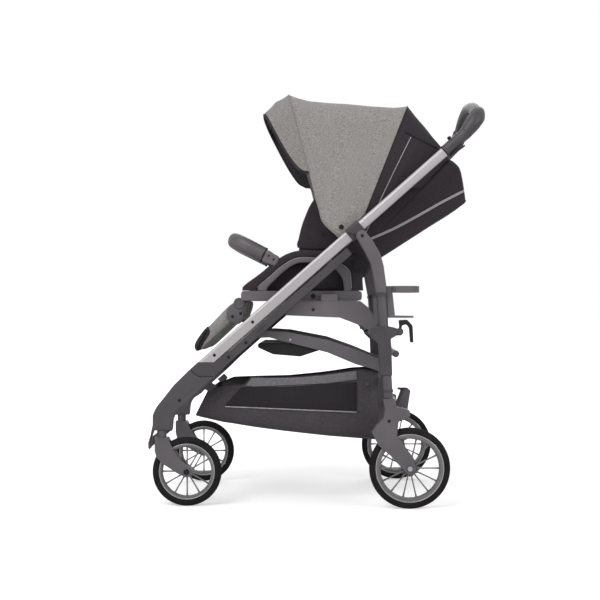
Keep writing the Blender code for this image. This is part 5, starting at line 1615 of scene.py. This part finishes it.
    def side_line(self, grid: Array, side: Side, line: Array, proud: float) -> Array:
        """A side-view line laid on one flank of a sheet, standing a little proud of it."""
        flank = grid.reshape(-1, 3)
        flank = flank[flank[:, 1] * side.value > 0.08]
        gap = np.linalg.norm(flank[None, :, [0, 2]] - line[:, None, :], axis=-1)
        depth = np.abs(flank[np.argmin(gap, axis=1), 1]) + proud
        depth = np.convolve(np.pad(depth, 4, mode="edge"), np.ones(9) / 9, mode="valid")
        return at_depth(line, side.value * depth)

    def rear_panel(self) -> None:
        """The fixed dark panel that wraps the head of the backrest, with a crease drawn as a raised black
        cord of painted shade, and a light piping.
        """
        put = self.stroller
        grid = self.sheet_grid(self.rear_ribs, 46, 0.0008, 0.0)
        piece = cloth_sheet("canopy_rear_cloth", grid, CHARCOAL, 0.0020)
        put.fit(piece, "back", "canopy_rear", slot="dark_fabric")
        put.fit(self.seam("rear_front_seam", grid[0], CHARCOAL, 0.0014), "back")
        put.fit(self.seam("rear_hem", grid[-1], CHARCOAL, 0.0018), "back")
        light = smooth_line(side_view((246.6, 972.8), (200, 878), (155, 783)), 60)
        low = smooth_line(side_view((140, 745), (131, 727), (125, 712)), 16)
        crease = smooth_line(side_view((231, 986), (273, 965), (316, 946)), 40)
        for side in Side:
            on_panel = self.side_line(grid, side, light, 0.0012)
            put.fit(self.seam(f"rear_piping_{side}", on_panel, PIPING, 0.0012), "back")
            below = at_depth(low, side.value * 0.1515)
            put.fit(self.seam(f"shell_piping_{side}", below, PIPING, 0.0012), "back")
            # The crease is partly real and partly painted shade: a raised fold line whose cord is black,
            # darker than the panel's cloth.
            fold = self.side_line(grid, side, crease, 0.0002)
            put.fit(self.seam(f"rear_fold_{side}", fold, BLACK, 0.0026), "back")

    def build(self) -> None:
        """Make the bow, shell, visor and rear panel."""
        self.stroller.rounded("canopy_bow", DARK, 0.0008)
        self.folding_shell()
        self.visor()
        self.rear_panel()


@dataclass
class Legrest:
    """The padded legrest with its dark tip and the brackets at its hinge."""

    stroller: Stroller
    half_width: float = 0.147
    bracket: Outline = (
        (-240, 522), (-222, 532), (-203, 520), (-201, 492), (-214, 476), (-240, 486), (-246, 505))
    screws: Outline = ((-229.8, 496.5), (-208.0, 505.0))
    body: Outline = (
        (-188, 538), (-205, 538.5), (-223, 533.5), (-241, 520), (-268, 493), (-300, 460),
        (-322, 434), (-328.5, 420), (-326, 408), (-316, 404.5), (-304, 413), (-268, 446),
        (-232, 479), (-206, 494), (-197, 506), (-193, 520))
    tip: Outline = (
        (-299, 467), (-318, 446), (-331, 424), (-332, 411), (-326, 403.5), (-317, 408), (-304, 428),
        (-289, 452))

    def build(self) -> None:
        """Make the pad, tip and brackets."""
        put = self.stroller
        half = self.half_width
        outline = smooth_line(side_view(*self.body), 120, closed=True)
        pad = slab("legrest_pad_cover", outline, (-half, half), 0.008, MELANGE, 7, 0.001, sharp=60)
        swell_pad(pad)
        put.fit(pad, "legrest_pad", "legrest", slot="melange_fabric")
        outline = smooth_line(side_view(*self.tip), 90, closed=True)
        half_tip = half + 0.0012
        tip = slab("legrest_tip_cover", outline, (-half_tip, half_tip), 0.008, CHARCOAL, 6, sharp=60)
        put.fit(tip, "legrest_pad", slot="melange_fabric")
        line = at_depth(np.repeat(side_view((-298, 467.8)), 80, axis=0), np.linspace(-half, half, 80))
        put.fit(tube("legrest_seam", line, 0.0014, CHARCOAL, 8, across=(1.0, 0.0, 0.0)), "legrest_pad")
        plate = smooth_line(side_view(*self.bracket), 70, closed=True)
        for side in Side:
            faces = (side.value * (half - 0.002), side.value * (half + 0.0022))
            put.fit(slab(f"legrest_bracket_{side}", plate, faces, 0.0014, GREY), "legrest_pad")
            for index, place in enumerate(self.screws):
                name = f"legrest_screw_{side}_{index}"
                put.fasten(name, place, side, half + 0.0022, SCREW, "legrest_pad", BLACK, 20)


@dataclass
class Bumper:
    """The wrapped bumper bar in front of the child."""

    stroller: Stroller
    face: Place = (-141.0, 659.0)
    angle: float = math.radians(153)
    reach: float = 0.092
    half_width: float = 0.158
    bend: float = 0.048
    radius: float = 0.0207

    def build(self) -> None:
        """A U-shaped wrapped bar with two sewn seams on its inside and an end ring at each socket."""
        put = self.stroller
        face = side_view(self.face)[0]
        forward = np.array([math.cos(self.angle), math.sin(self.angle)])
        start = face + forward * 0.0012
        turn = np.linspace(0.0, math.pi / 2, 14)
        along = self.reach - self.bend + self.bend * np.sin(turn)
        arc = at_depth(face + forward * along[:, None], -self.half_width + self.bend * (1 - np.cos(turn)))
        half = np.vstack([[start[0], -self.half_width, start[1]], arc])
        path = even_line(np.vstack([half, half[::-1] * np.array([1.0, -1.0, 1.0])]), 160)
        swell = self.radius * (1 + 0.05 * np.sin(np.linspace(0.0, 1.0, 160) * math.pi) ** 0.5)
        grid = carried(path, np.array([0.2, 0.1, 1.0]), swell, swell, 2.3, 36, ends=0.004)
        piece = solid("bumper_wrap", grid, BUMPER_HIDE)
        put.fit(piece, "bumper", "bumper_bar", slot="leatherette")
        above = np.array([-forward[1], 0.0, forward[0]])
        inner = np.cross(np.gradient(path, axis=0), above)
        inner /= np.linalg.norm(inner, axis=1, keepdims=True)
        for index, lean in enumerate((-0.30, 0.30)):
            out = inner * math.cos(lean) + above * math.sin(lean)
            seam = (path + out * (swell[:, None] + 0.0001))[5:-5]
            put.fit(stitches(f"bumper_stitch_{index}", seam), "bumper")
        rows = face + np.linspace(0.0012, 0.008, 7)[:, None] * forward
        for side in Side:
            line = at_depth(rows, side.value * self.half_width)
            piece = tube(f"bumper_ring_{side}", line, self.radius + 0.0006, BLACK, 32, ends=0.0012)
            put.fit(piece, "bumper")


@dataclass
class Basket:
    """The shopping basket: a sagging cloth shell with net windows, a hem band and its straps."""

    stroller: Stroller
    half_width: float = 0.1745
    near_top: Outline = (
        (-306, 300), (-262, 314), (-198, 316), (-176, 336), (-130, 334.5), (-87, 335), (-40, 337),
        (5, 341), (50, 346.5), (101, 353.5), (116, 357), (159, 350))
    far_top: Outline = (
        (-306, 299), (-262, 314), (-172, 317), (-87, 319), (5, 328), (50, 334), (101, 342),
        (159, 345))
    low_line: Outline = (
        (-309, 231), (-250, 214), (-170, 201), (-89, 190.5), (30, 177), (159, 166))
    toe: float = 0.019
    slope_start: float = -230.0
    slope_length: float = 78.0
    front_height: float = 76.0
    corner_power: Place = (0.13, 0.15)
    wall_lean: float = 0.018
    hem_allowance: Place = (0.20, 0.22)
    window: Outline = ((-247, 258.7), (-204.2, 307.5), (102.6, 321.5), (102.6, 243.8))
    anchor: Triple = (0.165, 0.0, 0.30)
    keep: float = 0.16

    def hold(self, piece: Piece, *nodes: str) -> Piece:
        """Let a piece of the basket ride with the legs, on a mesh of its own."""
        self.stroller.fit(piece, "rear_frame", *nodes)
        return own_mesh(piece)

    def section(self) -> Array:
        """The shell from the near top edge under the floor to the far top edge, which is a little lower.

        At each place along the basket the section is a U: the wall leans in towards the floor, the
        corner is round, and the floor hangs lower in the middle. The walls belly outwards halfway up.
        Towards the front end the cloth slopes: its floor reaches forwards by the toe and its top is
        drawn back as far.
        """
        rows, columns = 61, 97
        x = np.linspace(-308.0, 159.0, rows)[:, None]
        u = np.linspace(-1.0, 1.0, columns)
        near = np.interp(x, *np.array(self.near_top).T)
        far = np.interp(x, *np.array(self.far_top).T)
        top = np.where(u < 0, near, far)
        low = np.interp(x, *np.array(self.low_line).T)
        c, s = np.sin(u * math.pi / 2), np.cos(u * math.pi / 2)
        wide = np.sign(c) * np.abs(c) ** self.corner_power[0]
        deep = np.abs(s) ** self.corner_power[1]
        belly = 0.0035 * np.sin(math.pi * np.clip(1 - deep, 0, 1)) * np.sign(c)
        height = (top - (top - low) * deep) * MM
        slope = np.clip((self.slope_start - x) / self.slope_length, 0.0, 1.0)
        rise = (low + self.front_height - height / MM) / self.front_height
        reach = x * MM - self.toe * slope * (2.0 * rise - 1.0)
        lengthwise = np.sin(np.linspace(0, math.pi, rows))[:, None]
        sag = 0.0030 * lengthwise * (1 - np.abs(wide)) ** 0.5 * deep
        wave = 0.0016 * np.sin(x * 0.045 + 4.0 * u) * np.sin(math.pi * deep)
        across = self.half_width * wide * (1.0 - self.wall_lean * deep) + belly + wave * np.sign(c)
        across = np.clip(across, -self.half_width - 0.001, self.half_width + 0.001)
        return np.stack([reach + ORIGIN_SHIFT, across, height - sag], axis=-1)

    def end_wall(self, row: Array, bulge: float) -> Array:
        """A wall that closes one end: the section's row drawn straight across, bellied out by the bulge."""
        count = len(row)
        half = count // 2
        left, right = row[:half + 1], row[count - 1:half - 1:-1]
        t = np.linspace(0.0, 1.0, 33)[:, None, None]
        flat = left[None] * (1 - t) + right[None] * t
        depth = np.linspace(0.0, 1.0, half + 1)[None, :]
        flat[..., 0] += bulge * np.sin(math.pi * t[..., 0]) * np.sin(math.pi * depth)
        return flat

    def cloth(self) -> None:
        """Walls, floor and both ends."""
        grid = self.section()
        front, back = self.end_wall(grid[0], -0.003), self.end_wall(grid[-1], 0.002)
        piece = Skin().grid(grid).grid(front).grid(back).build("basket_cloth_shell", BASKET_CLOTH, sharp=50)
        wall(piece, 0.0018, 1.0)
        self.hold(piece, "basket")
        for side, column in ((Side.LEFT, 0), (Side.RIGHT, -1)):
            edge = grid[:, column] - np.array([0.0, 0.0, 0.0005])
            self.hold(tube(f"basket_hem_{side}", edge, 0.0022, CHARCOAL, 10))
        for label, row in (("front", 0), ("rear", -1)):
            edge = even_line(grid[row][[0, -1]], 40)
            self.hold(tube(f"basket_hem_{label}", edge, 0.0022, CHARCOAL, 10, across=(0.0, 0.0, 1.0)))

    def bands(self) -> None:
        """The lighter tape sewn outside, along the top of both long walls."""
        count = 57
        x = np.linspace(-176.0, 104.0, count)
        slant = np.linspace(-1.0, 0.0, count)
        for side in Side:
            top = np.interp(x, *np.array(self.near_top if side is Side.LEFT else self.far_top).T)
            depth = np.full(count, side.value * (self.half_width + 0.0036))
            rows = []
            for below in np.linspace(1.5, 25.0, 8):
                along = x * MM + ORIGIN_SHIFT + 0.0007 * below * slant
                rows.append(np.stack([along, depth, (top - below) * MM], axis=1))
            name, rests = f"basket_tape_{side}", ["basket_cloth_shell"]
            self.hold(cloth_sheet(name, np.array(rows), BASKET_BAND, 0.0008, 0.0))

    def windows(self) -> None:
        """Net windows in both long walls, with a cord around each, piping below and a stud behind."""
        corners = np.array(self.window)
        u = np.linspace(0.0, 1.0, 41)[:, None, None]
        v = np.linspace(0.0, 1.0, 17)[None, :, None]
        low = corners[0] * (1 - u) + corners[3] * u
        high = corners[1] * (1 - u) + corners[2] * u
        flat = (low * (1 - v) + high * v) * MM
        bulge = 0.0012 * np.sin(math.pi * u[..., 0]) * np.sin(math.pi * v[..., 0])
        for side in Side:
            y = side.value * (self.half_width + 0.0034 + bulge)
            grid = np.stack([flat[..., 0] + ORIGIN_SHIFT, y, flat[..., 1]], axis=-1)
            name, rests = f"basket_net_{side}", ["basket_cloth_shell"]
            self.hold(cloth_sheet(name, grid, NET, 0.0008, 0.0))
            rim = np.vstack([grid[:, 0], grid[-1, 1:], grid[-2::-1, -1], grid[0, -2::-1]])
            self.hold(tube(f"basket_cord_{side}", even_line(rim, 160), 0.0013, CHARCOAL, 8))
            low_edge = grid[:, 0] + np.array([0.0, side.value * 0.0008, -0.0016])
            self.hold(tube(f"basket_piping_{side}", low_edge, 0.0016, PIPING, 8))
            place, face = side_view((130.6, 316.8))[0], self.half_width + 0.0028
            self.hold(disc_stack(f"basket_stud_{side}", place, side, face, STUD, DARK, 24))

    def straps(self) -> None:
        """Webbing from the basket's corners to the housings and to the legs."""
        front = np.array([[-0.279, 0.1750, 0.3035], [-0.284, 0.187, 0.3085], [-0.291, 0.2005, 0.3140]])
        rear = np.array([[0.1600, 0.1745, 0.322], [0.1640, 0.205, 0.322], [0.1680, 0.2445, 0.322]])
        shift = np.array([ORIGIN_SHIFT, 0.0, 0.0])
        for side in Side:
            for label, line, count, across, width in (("front", front, 12, np.array([0.8, 0.0, 0.6]), 0.026),
                                                      ("rear", rear, 16, np.array([0.0, 0.0, 1.0]), 0.024)):
                path = smooth_line(line * np.array([1.0, side.value, 1.0]) + shift, count)
                self.hold(strap(f"basket_{label}_strap_{side}", path, across, width, 0.0022, STRAP))

    def build(self) -> None:
        """Make the shell, tapes, windows and straps."""
        self.cloth()
        self.bands()
        self.windows()
        self.straps()


class Studio:
    """The pale floor, soft lamps, white surround and the camera."""

    camera_place = (0.01085, -3.19, 0.522)

    def floor(self) -> None:
        """A wide pale floor that is bright to the camera and keeps the shadows."""
        x, y = np.meshgrid(np.linspace(-40, 40, 3), np.linspace(-40, 40, 3), indexing="ij")
        paper = Recipe("floor_paper")
        paper.shader.inputs["Base Color"].default_value = (0.82, 0.82, 0.82, 1.0)
        paper.feel(roughness=1.0, gloss=0.0)
        glow = paper.node("ShaderNodeEmission")
        seen = paper.node("ShaderNodeLightPath")
        away = paper.node("ShaderNodeVectorMath", operation="LENGTH")
        paper.link(paper.place(), away.inputs[0])
        lift = paper.node("ShaderNodeMapRange", interpolation_type="SMOOTHSTEP")
        for key, value in (("From Min", 0.9), ("From Max", 3.0), ("To Min", 0.35), ("To Max", 0.80)):
            lift.inputs[key].default_value = value
        paper.link(away.outputs["Value"], lift.inputs["Value"])
        strength = paper.node("ShaderNodeMath", operation="MULTIPLY")
        paper.link(lift.outputs["Result"], strength.inputs[1])
        paper.link(seen.outputs["Is Camera Ray"], strength.inputs[0])
        paper.link(strength.outputs[0], glow.inputs["Strength"])
        both = paper.node("ShaderNodeAddShader")
        paper.link(paper.shader.outputs[0], both.inputs[0])
        paper.link(glow.outputs[0], both.inputs[1])
        out = paper.tree.nodes["Material Output"]
        paper.link(both.outputs[0], out.inputs["Surface"])
        flat = Skin().grid(np.stack([x, y, np.zeros_like(x)], axis=-1))
        piece = flat.build("floor", SILVER, outward=False)
        piece.data.materials.clear()
        piece.data.materials.append(paper.made)
        piece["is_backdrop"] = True

    def surround(self) -> None:
        """White to the camera and in reflections, and a plain even light on everything else."""
        world = bpy.data.worlds.new("studio")
        bpy.context.scene.world = world
        world.use_nodes = True
        tree = world.node_tree
        background = tree.nodes["Background"]
        seen = tree.nodes.new("ShaderNodeLightPath")
        shown = seen.outputs["Is Camera Ray"]
        for ray in ("Is Glossy Ray", "Is Transmission Ray"):
            either = tree.nodes.new("ShaderNodeMath")
            either.operation = "MAXIMUM"
            tree.links.new(shown, either.inputs[0])
            tree.links.new(seen.outputs[ray], either.inputs[1])
            shown = either.outputs[0]
        level = tree.nodes.new("ShaderNodeMapRange")
        level.inputs["To Min"].default_value = 0.62
        level.inputs["To Max"].default_value = 1.0
        tree.links.new(shown, level.inputs["Value"])
        tree.links.new(level.outputs["Result"], background.inputs["Strength"])
        background.inputs["Color"].default_value = (1.0, 1.0, 1.0, 1.0)

    def lamp(self, name: str, place: Triple, size: float, power: float) -> None:
        """A soft square lamp aimed at the middle of the stroller."""
        light = bpy.data.lights.new(name, "AREA")
        light.shape = "SQUARE"
        light.size = size
        light.energy = power
        holder = bpy.data.objects.new(name, light)
        holder.location = place
        aim = Vector((0.0, 0.0, 0.55)) - Vector(place)
        holder.rotation_euler = aim.to_track_quat("-Z", "Y").to_euler()
        bpy.context.scene.collection.objects.link(holder)

    def camera(self) -> None:
        """The photograph's view: level, square to the side, 3.19 m from the middle plane."""
        data = bpy.data.cameras.new("camera")
        data.lens = 67.9
        data.sensor_width = 36.0
        data.shift_x = -0.0333
        data.shift_y = 0.01167
        data.clip_end = 200.0
        holder = bpy.data.objects.new("camera", data)
        holder.location = self.camera_place
        holder.rotation_euler = (math.pi / 2, 0.0, 0.0)
        bpy.context.scene.collection.objects.link(holder)
        bpy.context.scene.camera = holder

    def build(self) -> None:
        """Set the stage."""
        self.floor()
        self.surround()
        self.lamp("key", (-1.8, -2.8, 3.2), 2.4, 95.0)
        self.lamp("fill", (2.6, -2.6, 1.8), 2.0, 34.0)
        self.lamp("back", (0.6, 3.2, 2.8), 2.4, 46.0)
        self.camera()
        bpy.context.scene.view_settings.view_transform = "Standard"


def main() -> None:
    """Build and report every sub-assembly, and the nodes left without a finish."""
    logging.basicConfig(level=logging.INFO, format="%(message)s")
    stroller = Stroller()
    builders = [
        Wheel(stroller, "front", (-0.3437 + ORIGIN_SHIFT, 0.0905), depth=RAIL_Y, radius=0.0905,
              rim_radius=0.0736, rim_depth=0.0106, spokes=12),
        Wheel(stroller, "rear", (0.2375 + ORIGIN_SHIFT, 0.1050), depth=0.2585, radius=0.1050,
              rim_radius=0.0890, rim_depth=0.0137, spokes=14, drum=0.024),
        FrontFrame(stroller), RearFrame(stroller), Handle(stroller), Linkage(stroller), Seat(stroller),
        Backrest(stroller), Canopy(stroller), Legrest(stroller), Bumper(stroller), Basket(stroller),
        Studio(),
    ]
    for builder in builders:
        LOG.info("building %s", type(builder).__name__)
        builder.build()
    left = sorted(set(stroller.body_of) - stroller.dressed)
    LOG.info("nodes without a finish: %s", left)


if __name__ == "__main__":
    main()
